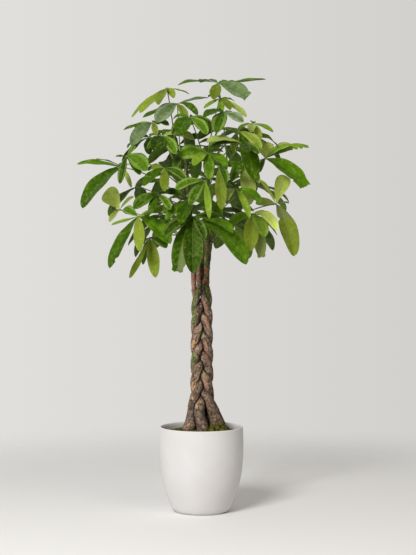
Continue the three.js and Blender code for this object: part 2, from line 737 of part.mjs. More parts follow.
// The rows of the whole crown, the leaves of the front first
function crownRows() {
  const rows = frontLeaves.map((leaf) => {
    const handNormal = facingOf(leaf);
    const leaflets = leaf.tips.map(([x, y, z, face = 0, wide = 1, arch = leaf.arch]) => ({
      tip: new THREE.Vector3(x, y, z),
      normal: handNormal.clone().lerp(towardsViewer, face).normalize(),
      wide,
      arch,
    }));
    return { hub: new THREE.Vector3(...leaf.hub), normal: handNormal, leaflets };
  });
  for (const { height, reach, from, to, leaves, length } of tiers) {
    for (let i = 0; i < leaves; i += 1) {
      const item = rows.length;
      const facing = THREE.MathUtils.lerp(from, to, i / (leaves - 1)) + stray.facing * vary(item, 1);
      const out = reach * (1 + stray.reach * vary(item, 2));
      const hub = new THREE.Vector3(
        out * Math.cos(facing * degree),
        out * Math.sin(facing * degree),
        height + stray.height * vary(item, 3),
      );
      const normal = facingOf({ facing, tilt: tierTilt + stray.tilt * vary(item, 4) });
      const tips = fanTips(item, hub, normal, length);
      rows.push({ hub, normal, leaflets: tips.map((tip) => ({ tip, normal, wide: 1, arch: tierArch })) });
    }
  }
  return rows;
}

// Each leaf takes the first stalk, and then the first tries of its leaflets, that stay clear of the rest
function growCrown() {
  stems.forEach((_, k) => {
    for (let height = stemRoomFoot; height <= stems[k].tip[2]; height += stemRoomStep) {
      const centre = stemCentre(k, height);
      const point = new THREE.Vector3(centre.x, centre.y, height);
      room.fill([point], stemRadius(k, height) + stemRoom, `stem ${k}`);
    }
  });
  const rows = crownRows();
  rows.forEach((row, item) => {
    row.stem = stemFor(row.hub);
    const curves = stalkTries.map((attempt) => stalkCurve(row.hub, row.stem, attempt));
    const clear = (curve) => room.isClear(stalkPoints(curve, row.stem), stalkRoom, `stem ${row.stem}`);
    row.stalk = curves.find(clear) ?? curves[0];
    room.fill(stalkPoints(row.stalk, row.stem), stalkRoom, `leaf ${item}`);
  });
  return rows.map((row, item) => {
    const grown = [];
    const hand = new Room();
    for (const leaflet of row.leaflets) {
      for (const attempt of leafletTries) {
        const tried = { ...leaflet, tip: triedTip(leaflet.tip, row.normal, attempt) };
        const outer = leafletPoints(row.hub, tried, clearOfHandFrom);
        const whole = leafletPoints(row.hub, tried, clearOfOthersFrom);
        if (hand.isClear(outer, handRoom, "none") && room.isClear(whole, bladeRoom, `leaf ${item}`)) {
          hand.fill(outer, handRoom, "hand");
          room.fill(whole, bladeRoom, `leaf ${item}`);
          grown.push(tried);
          break;
        }
      }
    }
    return { ...row, leaflets: grown };
  });
}

const clearStems = stems.map((_, k) => roundStem(k, fitGap));

function makeLeaf(row) {
  return makeStalk(row.stalk).subtract(clearStems[row.stem]).add(makeHand(row));
}

// The assembly
const finishes = {
  pot: new THREE.MeshStandardMaterial({ color: 0xe6e3de, roughness: 0.55, metalness: 0 }),
  soil: new THREE.MeshStandardMaterial({ color: 0x3a2a1e, roughness: 0.95, metalness: 0 }),
  moss: new THREE.MeshStandardMaterial({ color: 0x5f6422, roughness: 0.95, metalness: 0 }),
  stem: new THREE.MeshStandardMaterial({ color: 0x6b5844, roughness: 0.85, metalness: 0 }),
  leaf: new THREE.MeshStandardMaterial({ color: 0x3f7016, roughness: 0.5, metalness: 0 }),
};

const moneyTree = new THREE.Group();

function addPiece(name, solid, finish) {
  const piece = new THREE.Mesh(geometryOf(solid), finishes[finish]);
  piece.name = name;
  moneyTree.add(piece);
}

addPiece("pot", makePot(), "pot");
addPiece("soil", makeSoil(), "soil");
addPiece("moss", makeMoss(), "moss");
stems.forEach((_, k) => addPiece(`stem_${k + 1}`, makeStem(k), "stem"));
growCrown().forEach((row, i) => {
  addPiece(`leaf_${String(i + 1).padStart(2, "0")}`, makeLeaf(row), "leaf");
});

export default moneyTree;
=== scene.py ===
# A braided money tree in a plain tapered pot: the looks of every piece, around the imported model.
# Metres, +Z up, the origin at the centre of the pot's underside, -Y towards the viewer.
import math
import bmesh
import bpy
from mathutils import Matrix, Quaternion, Vector, noise
from mathutils.kdtree import KDTree


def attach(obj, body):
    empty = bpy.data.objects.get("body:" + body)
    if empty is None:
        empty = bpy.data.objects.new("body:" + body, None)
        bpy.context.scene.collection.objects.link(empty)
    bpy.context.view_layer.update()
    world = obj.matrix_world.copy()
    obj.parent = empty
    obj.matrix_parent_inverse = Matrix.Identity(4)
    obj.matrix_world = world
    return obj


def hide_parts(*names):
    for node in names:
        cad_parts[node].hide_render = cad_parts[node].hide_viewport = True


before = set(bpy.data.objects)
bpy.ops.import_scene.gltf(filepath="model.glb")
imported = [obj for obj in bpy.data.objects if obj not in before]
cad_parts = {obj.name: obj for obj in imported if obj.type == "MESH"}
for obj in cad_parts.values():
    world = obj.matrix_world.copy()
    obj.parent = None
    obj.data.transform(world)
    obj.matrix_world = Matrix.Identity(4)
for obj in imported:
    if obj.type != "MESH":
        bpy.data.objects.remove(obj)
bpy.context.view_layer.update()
print("frame loaded:", len(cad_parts), "nodes")

mm = 0.001
fullTurn = 2 * math.pi
up = Vector((0, 0, 1))
towardsViewer = Vector((0, -1, 0))
mergeDistance = 1e-6
sharpAngle = math.radians(55)


# Small helpers

def mix(low, high, share):
    return low + (high - low) * share


def clamp(value, low=0.0, high=1.0):
    return max(low, min(high, value))


def smoothstep(low, high, value):
    share = clamp((value - low) / (high - low))
    return share * share * (3 - 2 * share)


def vary(item, draw):  # a fixed draw from -1 to 1 for one thing of one item
    value = math.sin(item * 12.9898 + draw * 78.233) * 43758.5453
    return 2 * (value - math.floor(value)) - 1


def readRows(rows, place):  # a value from rows of (place, value), straight between them
    if place <= rows[0][0]:
        return rows[0][1]
    for (lowPlace, low), (highPlace, high) in zip(rows, rows[1:]):
        if place <= highPlace:
            return mix(low, high, (place - lowPlace) / (highPlace - lowPlace))
    return rows[-1][1]


def polar(radius, turn, height=0.0):
    return Vector((radius * math.cos(turn), radius * math.sin(turn), height))


def tint(red, green, blue):  # a screen colour, 0 to 255, as the shader wants it
    def linear(part):
        share = part / 255
        return share / 12.92 if share <= 0.04045 else ((share + 0.055) / 1.055) ** 2.4
    return (linear(red), linear(green), linear(blue), 1)


# Shader expressions: a Socket stands for a value in the node tree, and + - * on it add Math nodes

class Socket:
    def __init__(self, finish, source):
        self.finish = finish
        self.source = source

    def maths(self, operation, *values):
        return self.finish.node("Math", {"operation": operation}, dict(enumerate(values)))

    def __add__(self, other):
        return self.maths("ADD", self, other)

    def __radd__(self, other):
        return self.maths("ADD", other, self)

    def __sub__(self, other):
        return self.maths("SUBTRACT", self, other)

    def __rsub__(self, other):
        return self.maths("SUBTRACT", other, self)

    def __mul__(self, other):
        return self.maths("MULTIPLY", self, other)

    def __rmul__(self, other):
        return self.maths("MULTIPLY", other, self)

    def __abs__(self):
        return self.maths("ABSOLUTE", self)

    def fraction(self):
        return self.maths("FRACT", self)

    def ease(self, low, high):  # 0 below low, 1 above high, smooth between
        settings = {"interpolation_type": "SMOOTHSTEP"}
        return self.finish.node("MapRange", settings, {0: self, 1: low, 2: high})


socketNames = {"color": "Base Color", "rough": "Roughness", "normal": "Normal", "alpha": "Alpha",
               "specular": "Specular IOR Level", "specularTint": "Specular Tint", "sheen": "Sheen Weight"}


class Finish:
    def __init__(self, name):
        self.material = bpy.data.materials.new(name)
        self.material.use_nodes = True
        self.tree = self.material.node_tree
        self.shader = self.tree.nodes["Principled BSDF"]
        self.output = self.tree.nodes["Material Output"]

    def put(self, socket, value):
        if isinstance(value, Socket):
            self.tree.links.new(value.source, socket)
        else:
            socket.default_value = value

    def node(self, kind, settings=None, values=None, out=0):
        made = self.tree.nodes.new("ShaderNode" + kind)
        for name, value in (settings or {}).items():
            setattr(made, name, value)
        for name, value in (values or {}).items():
            self.put(made.inputs[name], value)
        return Socket(self, made.outputs[out])

    def place(self):
        return self.node("TexCoord", out="Object")

    def attribute(self, name, out="Fac"):
        return self.node("Attribute", {"attribute_name": name}, out=out)

    def stretched(self, vector, scale):
        return self.node("VectorMath", {"operation": "MULTIPLY"}, {0: vector, 1: scale})

    def cloud(self, vector, scale, detail, roughness=0.5):
        values = {"Vector": vector, "Scale": scale, "Detail": detail, "Roughness": roughness}
        return self.node("TexNoise", None, values)

    def blend(self, share, low, high):
        return self.node("Mix", {"data_type": "RGBA"}, {0: share, 6: low, 7: high}, out=2)

    def bumps(self, height, distance, strength):
        values = {"Height": height, "Distance": distance, "Strength": strength}
        return self.node("Bump", None, values, out="Normal")

    def set(self, **sockets):
        for name, value in sockets.items():
            self.put(self.shader.inputs[socketNames[name]], value)
        return self

    def letLightThrough(self, colour, share):  # a thin blade glows a little when lit from behind
        glow = self.node("BsdfTranslucent", None, {"Color": colour})
        body = Socket(self, self.shader.outputs[0])
        both = self.node("MixShader", None, {0: share, 1: body, 2: glow})
        self.tree.links.new(both.source, self.output.inputs["Surface"])
        return self


# Meshes and objects

def storedMesh(name, bm):
    mesh = bpy.data.meshes.new(name)
    bm.to_mesh(mesh)
    bm.free()
    return mesh


def addObject(name, data):
    made = bpy.data.objects.new(name, data)
    bpy.context.scene.collection.objects.link(made)
    return made


def addPiece(name, bm, finishes, replaced):
    for face in bm.faces:
        face.smooth = True
    mesh = storedMesh(name, bm)
    for finish in finishes:
        mesh.materials.append(finish.material)
    mesh.set_sharp_from_angle(angle=sharpAngle)
    piece = addObject(name, mesh)
    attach(piece, "root")
    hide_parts(*replaced)


def pointOutwards(bm):
    bmesh.ops.recalc_face_normals(bm, faces=bm.faces[:])


def turnedBody(profile, facets):  # a line of (radius, height) from the upright axis back to it, spun round
    bm = bmesh.new()
    corners = [bm.verts.new((radius, 0, height)) for radius, height in profile]
    for one, other in zip(corners, corners[1:]):
        bm.edges.new((one, other))
    bmesh.ops.spin(bm, geom=bm.verts[:] + bm.edges[:], cent=(0, 0, 0), axis=(0, 0, 1),
                   angle=fullTurn, steps=facets, use_merge=True)
    bmesh.ops.remove_doubles(bm, verts=bm.verts[:], dist=mergeDistance)
    return bm


def closeTube(bm, seam):  # joins the seam of a rolled grid and fills its two ends
    bmesh.ops.remove_doubles(bm, verts=bm.verts[:], dist=seam)
    bmesh.ops.holes_fill(bm, edges=bm.edges[:], sides=0)
    pointOutwards(bm)


def renumbered(bm):  # without the gaps in its numbers that joined corners leave
    mesh = storedMesh("renumbered", bm)
    fresh = bmesh.new()
    fresh.from_mesh(mesh)
    bpy.data.meshes.remove(mesh)
    return fresh


def addCopies(bm, mesh, count):  # the corners of each copy
    first = len(bm.verts)
    for _ in range(count):
        bm.from_mesh(mesh)
    bm.verts.ensure_lookup_table()
    size = len(mesh.vertices)
    return [bm.verts[first + i * size:first + (i + 1) * size] for i in range(count)]


# Pot: matte, off-white, turned in one piece

pot = {
    "height": 0.302,
    "footRadius": 0.090,
    "footCorner": 0.024,
    "footFlare": 0.022,
    "footHandle": 0.012,
    "sideHandle": (0.018, 0.072),
    "bellyRadius": 0.151,
    "bellyHeight": 0.238,
    "bellyHandle": 0.118,
    "shoulderHandle": 0.275,
    "rimRadius": 0.149,
    "rimRound": 0.003,
    "wall": 0.008,
    "floor": 0.014,
    "wellTop": 0.034,
    "wellCorner": 0.004,
    "facets": 128,
    "outlineSteps": 10,
    "lipSteps": 12,
    "colour": tint(216, 214, 214),
    "shadeColour": tint(211, 208, 206),
    "speckColour": tint(205, 198, 188),
}


def quadratic(start, handle, end, share):
    return start.lerp(handle, share).lerp(handle.lerp(end, share), share)


def cubic(start, first, second, end, share):
    return quadratic(start, first, second, share).lerp(quadratic(first, second, end, share), share)


def potOutline():  # (radius, height) up the outside, in three smooth stretches
    steps = pot["outlineSteps"]
    foot = Vector((pot["footRadius"], 0))
    footHandle = Vector((pot["footRadius"] + pot["footHandle"], 0))
    footTop = Vector((pot["footRadius"] + pot["footFlare"], pot["footCorner"]))
    sideLow = Vector((footTop.x + pot["sideHandle"][0], pot["sideHandle"][1]))
    sideHigh = Vector((pot["bellyRadius"], pot["bellyHandle"]))
    belly = Vector((pot["bellyRadius"], pot["bellyHeight"]))
    shoulder = Vector((pot["bellyRadius"], pot["shoulderHandle"]))
    rim = Vector((pot["rimRadius"], pot["height"] - pot["rimRound"]))
    corner = [quadratic(foot, footHandle, footTop, i / steps) for i in range(steps)]
    side = [cubic(footTop, sideLow, sideHigh, belly, i / (3 * steps)) for i in range(3 * steps)]
    top = [quadratic(belly, shoulder, rim, i / steps) for i in range(steps + 1)]
    return corner + side + top


potSide = potOutline()


def potInside(height):  # the radius of the inner wall
    return readRows([(point.y, point.x) for point in potSide], height) - pot["wall"]


def potFinish():
    finish = Finish("pot_matte")
    place = finish.place()
    broad = finish.cloud(place, 7, 2)
    fine = finish.cloud(place, 420, 3, 0.6)
    speck = finish.cloud(place, 160, 2).ease(0.66, 0.74)
    colour = finish.blend(broad.ease(0.3, 0.7), pot["colour"], pot["shadeColour"])
    colour = finish.blend(speck * 0.25, colour, pot["speckColour"])
    pits = fine * 0.6 + finish.cloud(place, 60, 3) * 0.4
    return finish.set(color=colour, rough=0.44 + 0.16 * fine, normal=finish.bumps(pits, 0.0004, 0.35),
                      specular=0.35)


def makePot():
    lip = []
    for step in range(1, pot["lipSteps"]):
        turn = math.pi * step / pot["lipSteps"]
        lip.append((pot["rimRadius"] - pot["rimRound"] + pot["rimRound"] * math.cos(turn),
                    pot["height"] - pot["rimRound"] + pot["rimRound"] * math.sin(turn)))
    inner = [(point.x - pot["wall"], point.y) for point in potSide if point.y > pot["wellTop"]]
    foot = potInside(pot["floor"])
    well = [(foot, pot["floor"] + pot["wellCorner"]), (foot - pot["wellCorner"], pot["floor"]),
            (0, pot["floor"])]
    bm = turnedBody([(0, 0)] + potSide + lip + inner[::-1][1:] + well, pot["facets"])
    pointOutwards(bm)
    addPiece("pot_body", bm, [potFinish()], ["pot"])


makePot()
print("pot made")


# Stems: five shoots that stand apart at the soil, are plaited, and part again as green leading shoots

trunk = {
    "holeDepth": 0.055,
    "footHeight": 0.300,
    "flareTop": 0.450,
    "flarePower": 1.7,
    "braidPeriod": 0.340,
    "braidStart": 0.609,
    "braidReach": 0.0245,
    "braidDepth": 0.016,
    "braidAxis": 0.002,
    "braidEnd": 0.745,
    "neckHeight": 0.850,
    "shootPower": 1.4,
    "tipRound": 0.010,
    "sides": 44,
    "rowStep": 0.0034,
    "youngBetween": (0.78, 0.98),
    "lumps": 0.0011,
    "grooves": 0.0014,
    "youngRelief": 0.2,
    "ringStep": 0.041,
    "ringDrift": 0.008,
    "ringTilt": 0.003,
    "ringWidth": 0.0028,
    "ringRise": 0.0014,
    # The painted shade in the creases where stems touch: how far it reaches, and where it is weaker
    "crease": 0.012,
    "asideBetween": (0.008, 0.030),
    "asideAbove": (0.36, 0.44),
    "partedBetween": (0.74, 0.80),
    "patchFacing": (-0.2, 0.5),
    "patchEdge": (0.5, 1.4),
    # Painted shade on the side of each stem away from the key light, and darkening low on the feet that leans
    # to the right
    "shade": 0.42,
    "footShade": 0.62,
    "footShadeBetween": (0.43, 0.36),
    "footShadeLean": 0.8,
}
soilEdge = 0.274  # the height of the soil at the pot's wall
soilRise = 0.008  # how much higher it is in the middle

# Height and radius of a stem above its flare
stemRadii = [(0.450, 0.017), (0.700, 0.0145), (0.753, 0.0125), (0.800, 0.0092), (0.900, 0.0084),
             (1.340, 0.0046)]

# Where each stem stands on the soil and its radius there, its place at the neck, and the end of its shoot
stems = [
    {"foot": (0.066, -0.012, 0.030), "neck": (0.0185, -0.012), "tip": (0.020, -0.060, 1.260)},
    {"foot": (-0.022, 0.040, 0.026), "neck": (-0.028, 0.004), "tip": (-0.060, 0.050, 1.300)},
    {"foot": (-0.043, -0.016, 0.026), "neck": (-0.0105, -0.008), "tip": (-0.085, -0.030, 1.230)},
    {"foot": (0.007, -0.044, 0.022), "neck": (0.003, 0.018), "tip": (0.045, 0.030, 1.340)},
    {"foot": (0.042, 0.044, 0.027), "neck": (0.021, 0.011), "tip": (0.095, 0.010, 1.250)},
]


def flareOut(height):
    share = (trunk["flareTop"] - height) / (trunk["flareTop"] - trunk["footHeight"])
    return clamp(share) ** trunk["flarePower"]


def stemCentre(k, height):
    stem = stems[k]
    turn = ((height - trunk["braidStart"]) / trunk["braidPeriod"] + k / len(stems)) * fullTurn
    braid = Vector((trunk["braidAxis"] + trunk["braidReach"] * math.sin(turn),
                    trunk["braidDepth"] * math.sin(2 * turn)))
    if height < trunk["flareTop"]:
        return braid.lerp(Vector(stem["foot"][:2]), flareOut(height))
    if height < trunk["neckHeight"]:
        leave = smoothstep(trunk["braidEnd"], trunk["neckHeight"], height)
        return braid.lerp(Vector(stem["neck"]), leave)
    rise = min(1, (height - trunk["neckHeight"]) / (stem["tip"][2] - trunk["neckHeight"]))
    return Vector(stem["neck"]).lerp(Vector(stem["tip"][:2]), rise ** trunk["shootPower"])


def stemRadius(k, height):
    if height >= trunk["flareTop"]:
        return readRows(stemRadii, height)
    return mix(stemRadii[0][1], stems[k]["foot"][2], flareOut(height))


# Patches of colour on the trunk, as seen from the front: their middle, half width, half height, and how far
# they lean to the right on the way up
barkPatches = {
    "green": [
        {"x": -0.018, "z": 0.772, "wide": 0.008, "high": 0.044, "lean": 0.42},
        {"x": 0.022, "z": 0.780, "wide": 0.009, "high": 0.036, "lean": -0.15},
        {"x": 0.019, "z": 0.898, "wide": 0.008, "high": 0.024, "lean": 0.0},
        {"x": 0.012, "z": 0.842, "wide": 0.006, "high": 0.008, "lean": 0.0},
        {"x": -0.002, "z": 0.895, "wide": 0.009, "high": 0.030, "lean": 0.0},
        {"x": -0.030, "z": 0.700, "wide": 0.011, "high": 0.042, "lean": 0.0},
        {"x": -0.032, "z": 0.548, "wide": 0.011, "high": 0.028, "lean": 0.0},
        {"x": 0.002, "z": 0.634, "wide": 0.0045, "high": 0.026, "lean": 0.2},
        {"x": 0.003, "z": 0.496, "wide": 0.0045, "high": 0.026, "lean": 0.2},
        {"x": -0.026, "z": 0.304, "wide": 0.008, "high": 0.008, "lean": 0.0},
    ],
    "tan": [
        {"x": -0.030, "z": 0.824, "wide": 0.010, "high": 0.042, "lean": 0.0},
        {"x": -0.011, "z": 0.842, "wide": 0.010, "high": 0.032, "lean": 0.0},
        {"x": -0.030, "z": 0.768, "wide": 0.006, "high": 0.018, "lean": 0.0},
        {"x": 0.019, "z": 0.690, "wide": 0.009, "high": 0.038, "lean": -0.10},
        {"x": 0.016, "z": 0.578, "wide": 0.010, "high": 0.036, "lean": -0.15},
        {"x": 0.016, "z": 0.450, "wide": 0.010, "high": 0.028, "lean": -0.15},
        {"x": 0.012, "z": 0.735, "wide": 0.005, "high": 0.050, "lean": -0.3},
        {"x": -0.012, "z": 0.402, "wide": 0.010, "high": 0.006, "lean": 0.0},
    ],
    "cream": [
        {"x": -0.010, "z": 0.622, "wide": 0.0045, "high": 0.032, "lean": 0.4},
        {"x": -0.010, "z": 0.484, "wide": 0.0045, "high": 0.034, "lean": 0.38},
        {"x": -0.029, "z": 0.598, "wide": 0.009, "high": 0.018, "lean": 0.2},
        {"x": -0.028, "z": 0.450, "wide": 0.009, "high": 0.020, "lean": 0.2},
        {"x": 0.022, "z": 0.376, "wide": 0.006, "high": 0.012, "lean": -0.6},
        {"x": -0.047, "z": 0.312, "wide": 0.007, "high": 0.009, "lean": 0.3},
        {"x": 0.008, "z": 0.325, "wide": 0.004, "high": 0.006, "lean": 0.0},
        {"x": 0.013, "z": 0.900, "wide": 0.003, "high": 0.020, "lean": 0.0},
        {"x": -0.014, "z": 0.376, "wide": 0.005, "high": 0.008, "lean": 0.0},
        {"x": -0.030, "z": 0.405, "wide": 0.006, "high": 0.008, "lean": 0.0},
    ],
    "rust": [
        {"x": 0.016, "z": 0.858, "wide": 0.007, "high": 0.011, "lean": -0.2},
        {"x": 0.021, "z": 0.820, "wide": 0.008, "high": 0.013, "lean": -0.3},
        {"x": -0.029, "z": 0.826, "wide": 0.010, "high": 0.0035, "lean": 0.0},
        {"x": -0.029, "z": 0.797, "wide": 0.010, "high": 0.003, "lean": 0.0},
        {"x": -0.011, "z": 0.819, "wide": 0.009, "high": 0.0035, "lean": 0.0},
        {"x": 0.017, "z": 0.738, "wide": 0.004, "high": 0.004, "lean": 0.0},
        {"x": -0.047, "z": 0.352, "wide": 0.006, "high": 0.006, "lean": 0.0},
        {"x": -0.010, "z": 0.399, "wide": 0.006, "high": 0.003, "lean": 0.0},
    ],
    "slate": [
        {"x": -0.034, "z": 0.352, "wide": 0.009, "high": 0.040, "lean": 0.30},
        {"x": 0.003, "z": 0.345, "wide": 0.006, "high": 0.024, "lean": 0.0},
    ],
}


def patchAmount(patches, place, outward):
    facing = smoothstep(*trunk["patchFacing"], -outward.y)
    amount = 0.0
    for patch in patches:
        rise = place.z - patch["z"]
        away = math.hypot((place.x - patch["x"] - patch["lean"] * rise) / patch["wide"], rise / patch["high"])
        amount = max(amount, 1 - smoothstep(*trunk["patchEdge"], away))
    return amount * facing


def nearNeighbour(k, place):  # painted shade in the creases between stems: 1 where another stem touches, 0 away from it, less at the sides and high up
    gaps = [(place.xy - stemCentre(other, place.z)).length - stemRadius(other, place.z)
            for other in range(len(stems)) if other != k and place.z < stems[other]["tip"][2]]
    aside = smoothstep(*trunk["asideBetween"], abs(place.x - trunk["braidAxis"]))
    aside *= smoothstep(*trunk["asideAbove"], place.z)
    parted = smoothstep(*trunk["partedBetween"], place.z)
    touch = 1 - smoothstep(0.0, trunk["crease"], min(gaps, default=1))
    return touch * (1 - 0.5 * aside) * (1 - 0.35 * parted)


def barkRelief(k, height, turn, woody):  # how far the bark stands out, in metres
    outward = polar(1, turn)
    lumps = noise.fractal(outward * 2.6 + Vector((k * 7, 0, height * 22)), 1.0, 2.0, 4)
    grooves = abs(noise.noise(outward * 5 + Vector((0, k * 5, height * 26))))
    relief = trunk["lumps"] * lumps - trunk["grooves"] * (1 - smoothstep(0.0, 0.14, grooves))
    relief *= mix(trunk["youngRelief"], 1, woody)
    near = round(height / trunk["ringStep"])
    place = near * trunk["ringStep"] + trunk["ringDrift"] * vary(near, 3 + k)
    side = fullTurn * vary(near, 11 + k) / 2
    about = math.cos(turn - side)
    ring = math.exp(-((height - place - trunk["ringTilt"] * about) / trunk["ringWidth"]) ** 2)
    return relief + trunk["ringRise"] * ring * smoothstep(-0.3, 0.8, about)


def barkFinish():
    finish = Finish("bark")
    grain = finish.attribute("grain", "Vector")
    fibre = finish.cloud(finish.stretched(grain, (1, 1, 0.22)), 200, 4, 0.6)
    flecks = finish.cloud(grain, 130, 4, 0.75)
    patchy = finish.cloud(grain, 42, 4, 0.6)
    cracks = finish.node("TexVoronoi", {"feature": "DISTANCE_TO_EDGE"},
                         {"Vector": finish.stretched(grain, (1, 1, 0.6)), "Scale": 95})
    crack = 1 - cracks.ease(0.0, 0.12)
    crease = finish.attribute("crease")
    colour = finish.blend(patchy.ease(0.42, 0.58), tint(100, 79, 66), tint(158, 132, 110))
    colour = finish.blend(fibre.ease(0.5, 0.7) * 0.5, colour, tint(152, 132, 112))
    colour = finish.blend(crack * 0.6, colour, tint(46, 34, 28))
    woodless = finish.attribute("shoot")
    shoot = finish.blend(fibre.ease(0.35, 0.7), tint(88, 106, 46), tint(128, 140, 76))
    shoot = finish.blend(patchy.ease(0.5, 0.64) * 0.8, shoot, tint(134, 110, 84))
    colour = finish.blend(woodless, colour, shoot)
    shades = {"slate": (tint(100, 98, 94), 1.6), "tan": (tint(168, 126, 106), 1.0),
              "green": (tint(88, 116, 42), 1.2), "cream": (tint(206, 164, 122), 2.6),
              "rust": (tint(182, 84, 46), 2.2)}
    for name, (shade, raggedness) in shades.items():
        broken = finish.attribute(name) - raggedness * abs(flecks - 0.56)
        colour = finish.blend(broken.ease(0.35, 0.7) * 0.9, colour, shade)
    colour = finish.blend(flecks.ease(0.53, 0.61) * 0.55, colour, tint(196, 172, 140))
    colour = finish.blend((1 - flecks.ease(0.39, 0.47)) * 0.6, colour, tint(44, 33, 27))
    colour = finish.blend(finish.attribute("ring") * 0.5, colour, tint(150, 118, 94))
    # Painted shade on the side away from the key light, and darker low on the feet
    colour = finish.blend(finish.attribute("shade") * trunk["shade"], colour, tint(34, 25, 21))
    # Painted shade, near black, in the creases where stems touch
    colour = finish.blend((crease + 0.3 * flecks).ease(0.3, 1.2) * 0.95, colour, tint(16, 11, 9))
    height = fibre * 0.3 + flecks * 0.5 + patchy * 0.3 - crack * 0.6
    return finish.set(color=colour, rough=0.92 - 0.22 * patchy, normal=finish.bumps(height, 0.0022, 0.9),
                      specular=0.25)


def makeStem(k, finish):
    low = soilEdge - trunk["holeDepth"]
    tip = stems[k]["tip"][2]
    rows = round((tip - low) / trunk["rowStep"])
    bm = bmesh.new()
    bmesh.ops.create_grid(bm, x_segments=trunk["sides"], y_segments=rows, size=1)
    grain = bm.verts.layers.float_vector.new("grain")
    paints = ("shoot", "ring", "crease", "shade", *barkPatches)
    painted = {name: bm.verts.layers.float.new(name) for name in paints}
    for vert in bm.verts:
        turn = (vert.co.x + 1) / 2 * fullTurn
        height = mix(low, tip, (vert.co.y + 1) / 2)
        centre = stemCentre(k, height)
        outward = polar(1, turn)
        ragged = 0.05 * noise.noise(Vector((k * 3, turn, height * 9)))
        young = smoothstep(*trunk["youngBetween"], height + ragged)
        radius = stemRadius(k, height)
        relief = barkRelief(k, height, turn, 1 - young)
        ending = smoothstep(0, trunk["tipRound"], tip - height)
        reach = (radius + relief) * math.sqrt(clamp(ending, 0.02, 1))
        vert.co = Vector((centre.x, centre.y, height)) + outward * reach
        vert[grain] = outward * radius + Vector((k * 0.5, 0, height))
        vert[painted["shoot"]] = young
        vert[painted["ring"]] = clamp(relief / trunk["ringRise"] - 0.4)
        # Painted shade in the creases where another stem touches
        vert[painted["crease"]] = nearNeighbour(k, vert.co)
        # Painted shade on the side turned away from the key light, and darker low on the feet, more so on the
        # right
        nearFoot = smoothstep(*trunk["footShadeBetween"], height - trunk["footShadeLean"] * vert.co.x)
        vert[painted["shade"]] = smoothstep(-0.1, 1.0, outward.x) + trunk["footShade"] * nearFoot
        for name, patches in barkPatches.items():
            vert[painted[name]] = patchAmount(patches, vert.co, outward)
    closeTube(bm, mergeDistance)
    addPiece(f"bark_stem_{k + 1}", bm, [finish], [f"stem_{k + 1}"])


bark = barkFinish()
for k in range(len(stems)):
    makeStem(k, bark)
print("stems made")


# Soil: a dark crumbly filling up to just under the rim

soil = {
    "facets": 120,
    "rings": 34,
    "wallHeights": (0.238, 0.20, 0.15, 0.10, 0.06, 0.034),
    "footCorner": 0.002,
    "gap": 0.00035,
    "lumps": 0.0022,
    "evenEdge": 0.006,
    "crumbs": 900,
    "crumbMargin": 0.004,
    "crumbSize": 0.0016,
    "crumbSpread": 0.0013,
}


def soilHeight(radius):
    reach = potInside(soilEdge)
    return soilEdge + soilRise * (1 - (radius / reach) ** 2)


def soilFinish():
    finish = Finish("soil_crumbs")
    place = finish.place()
    fine = finish.cloud(place, 300, 5, 0.65)
    broad = finish.cloud(place, 40, 3)
    colour = finish.blend(fine.ease(0.35, 0.7), tint(34, 25, 18), tint(88, 66, 46))
    colour = finish.blend(broad.ease(0.5, 0.7) * 0.5, colour, tint(72, 70, 34))
    return finish.set(color=colour, rough=0.95, normal=finish.bumps(fine, 0.002, 0.8), specular=0.2)


def makeSoil():
    reach = potInside(soilEdge) - soil["gap"]
    radii = [reach * i / soil["rings"] for i in range(soil["rings"] + 1)]
    top = [(radius, soilHeight(radius)) for radius in radii]
    wall = [(potInside(height) - 2 * soil["gap"], height) for height in soil["wallHeights"]]
    bottom = pot["floor"] + soil["gap"]
    foot = [(potInside(pot["floor"]) - soil["footCorner"], bottom), (0, bottom)]
    bm = turnedBody(top + wall + foot, soil["facets"])
    for vert in bm.verts:
        inside = 1 - smoothstep(reach - soil["evenEdge"], reach, math.hypot(vert.co.x, vert.co.y))
        if vert.co.z > soilEdge - mm:
            vert.co.z += soil["lumps"] * inside * noise.fractal(vert.co * 130, 1.0, 2.0, 4)
    pointOutwards(bm)
    bm = renumbered(bm)
    ball = bmesh.new()
    bmesh.ops.create_icosphere(ball, subdivisions=1, radius=1)
    crumb = storedMesh("crumb", ball)
    for i, corners in enumerate(addCopies(bm, crumb, soil["crumbs"])):
        radius = (reach - soil["crumbMargin"]) * math.sqrt(0.5 + 0.5 * vary(i, 1))
        size = soil["crumbSize"] + soil["crumbSpread"] * vary(i, 3) ** 2
        spot = polar(radius, math.pi * vary(i, 2), soilHeight(radius) + size * 0.4)
        for vert in corners:
            vert.co = spot + vert.co * size * (1 + 0.45 * noise.noise(vert.co * 1.3 + Vector((i, 0, 0))))
    bpy.data.meshes.remove(crumb)
    addPiece("soil_filling", bm, [soilFinish()], ["soil"])


makeSoil()
print("soil made")


# Moss: a soft mounded pad that climbs the feet of the stems, covered with short sprigs

moss = {
    "radius": 0.124,
    "thickness": 0.007,
    "edgeThickness": 0.0025,
    "edgeStart": 0.86,
    "edgeSwells": (0.007, 0.004),
    "swell": 0.003,
    "ripple": 0.002,
    "grain": 0.0016,
    "rings": 46,
    "underRings": (1.0, 0.66, 0.33, 0.0),
    "facets": 150,
    "sprigs": 9000,
    "sprigHeight": 0.0052,
    "sprigRadius": 0.0017,
    "sprigPoint": 0.15,
    "sprigRoot": 0.15,
    "sprigLean": 0.7,
    "sprigBend": 0.0012,
    "sprigSize": 0.75,
    "sprigSpread": 0.4,
}
mossMounds = [
    {"x": 0.073, "y": -0.044, "height": 0.033, "width": 0.029},
    {"x": 0.022, "y": -0.066, "height": 0.014, "width": 0.0155},
    {"x": 0.044, "y": -0.064, "height": 0.019, "width": 0.013},
    {"x": 0.006, "y": 0.068, "height": 0.014, "width": 0.030},
]


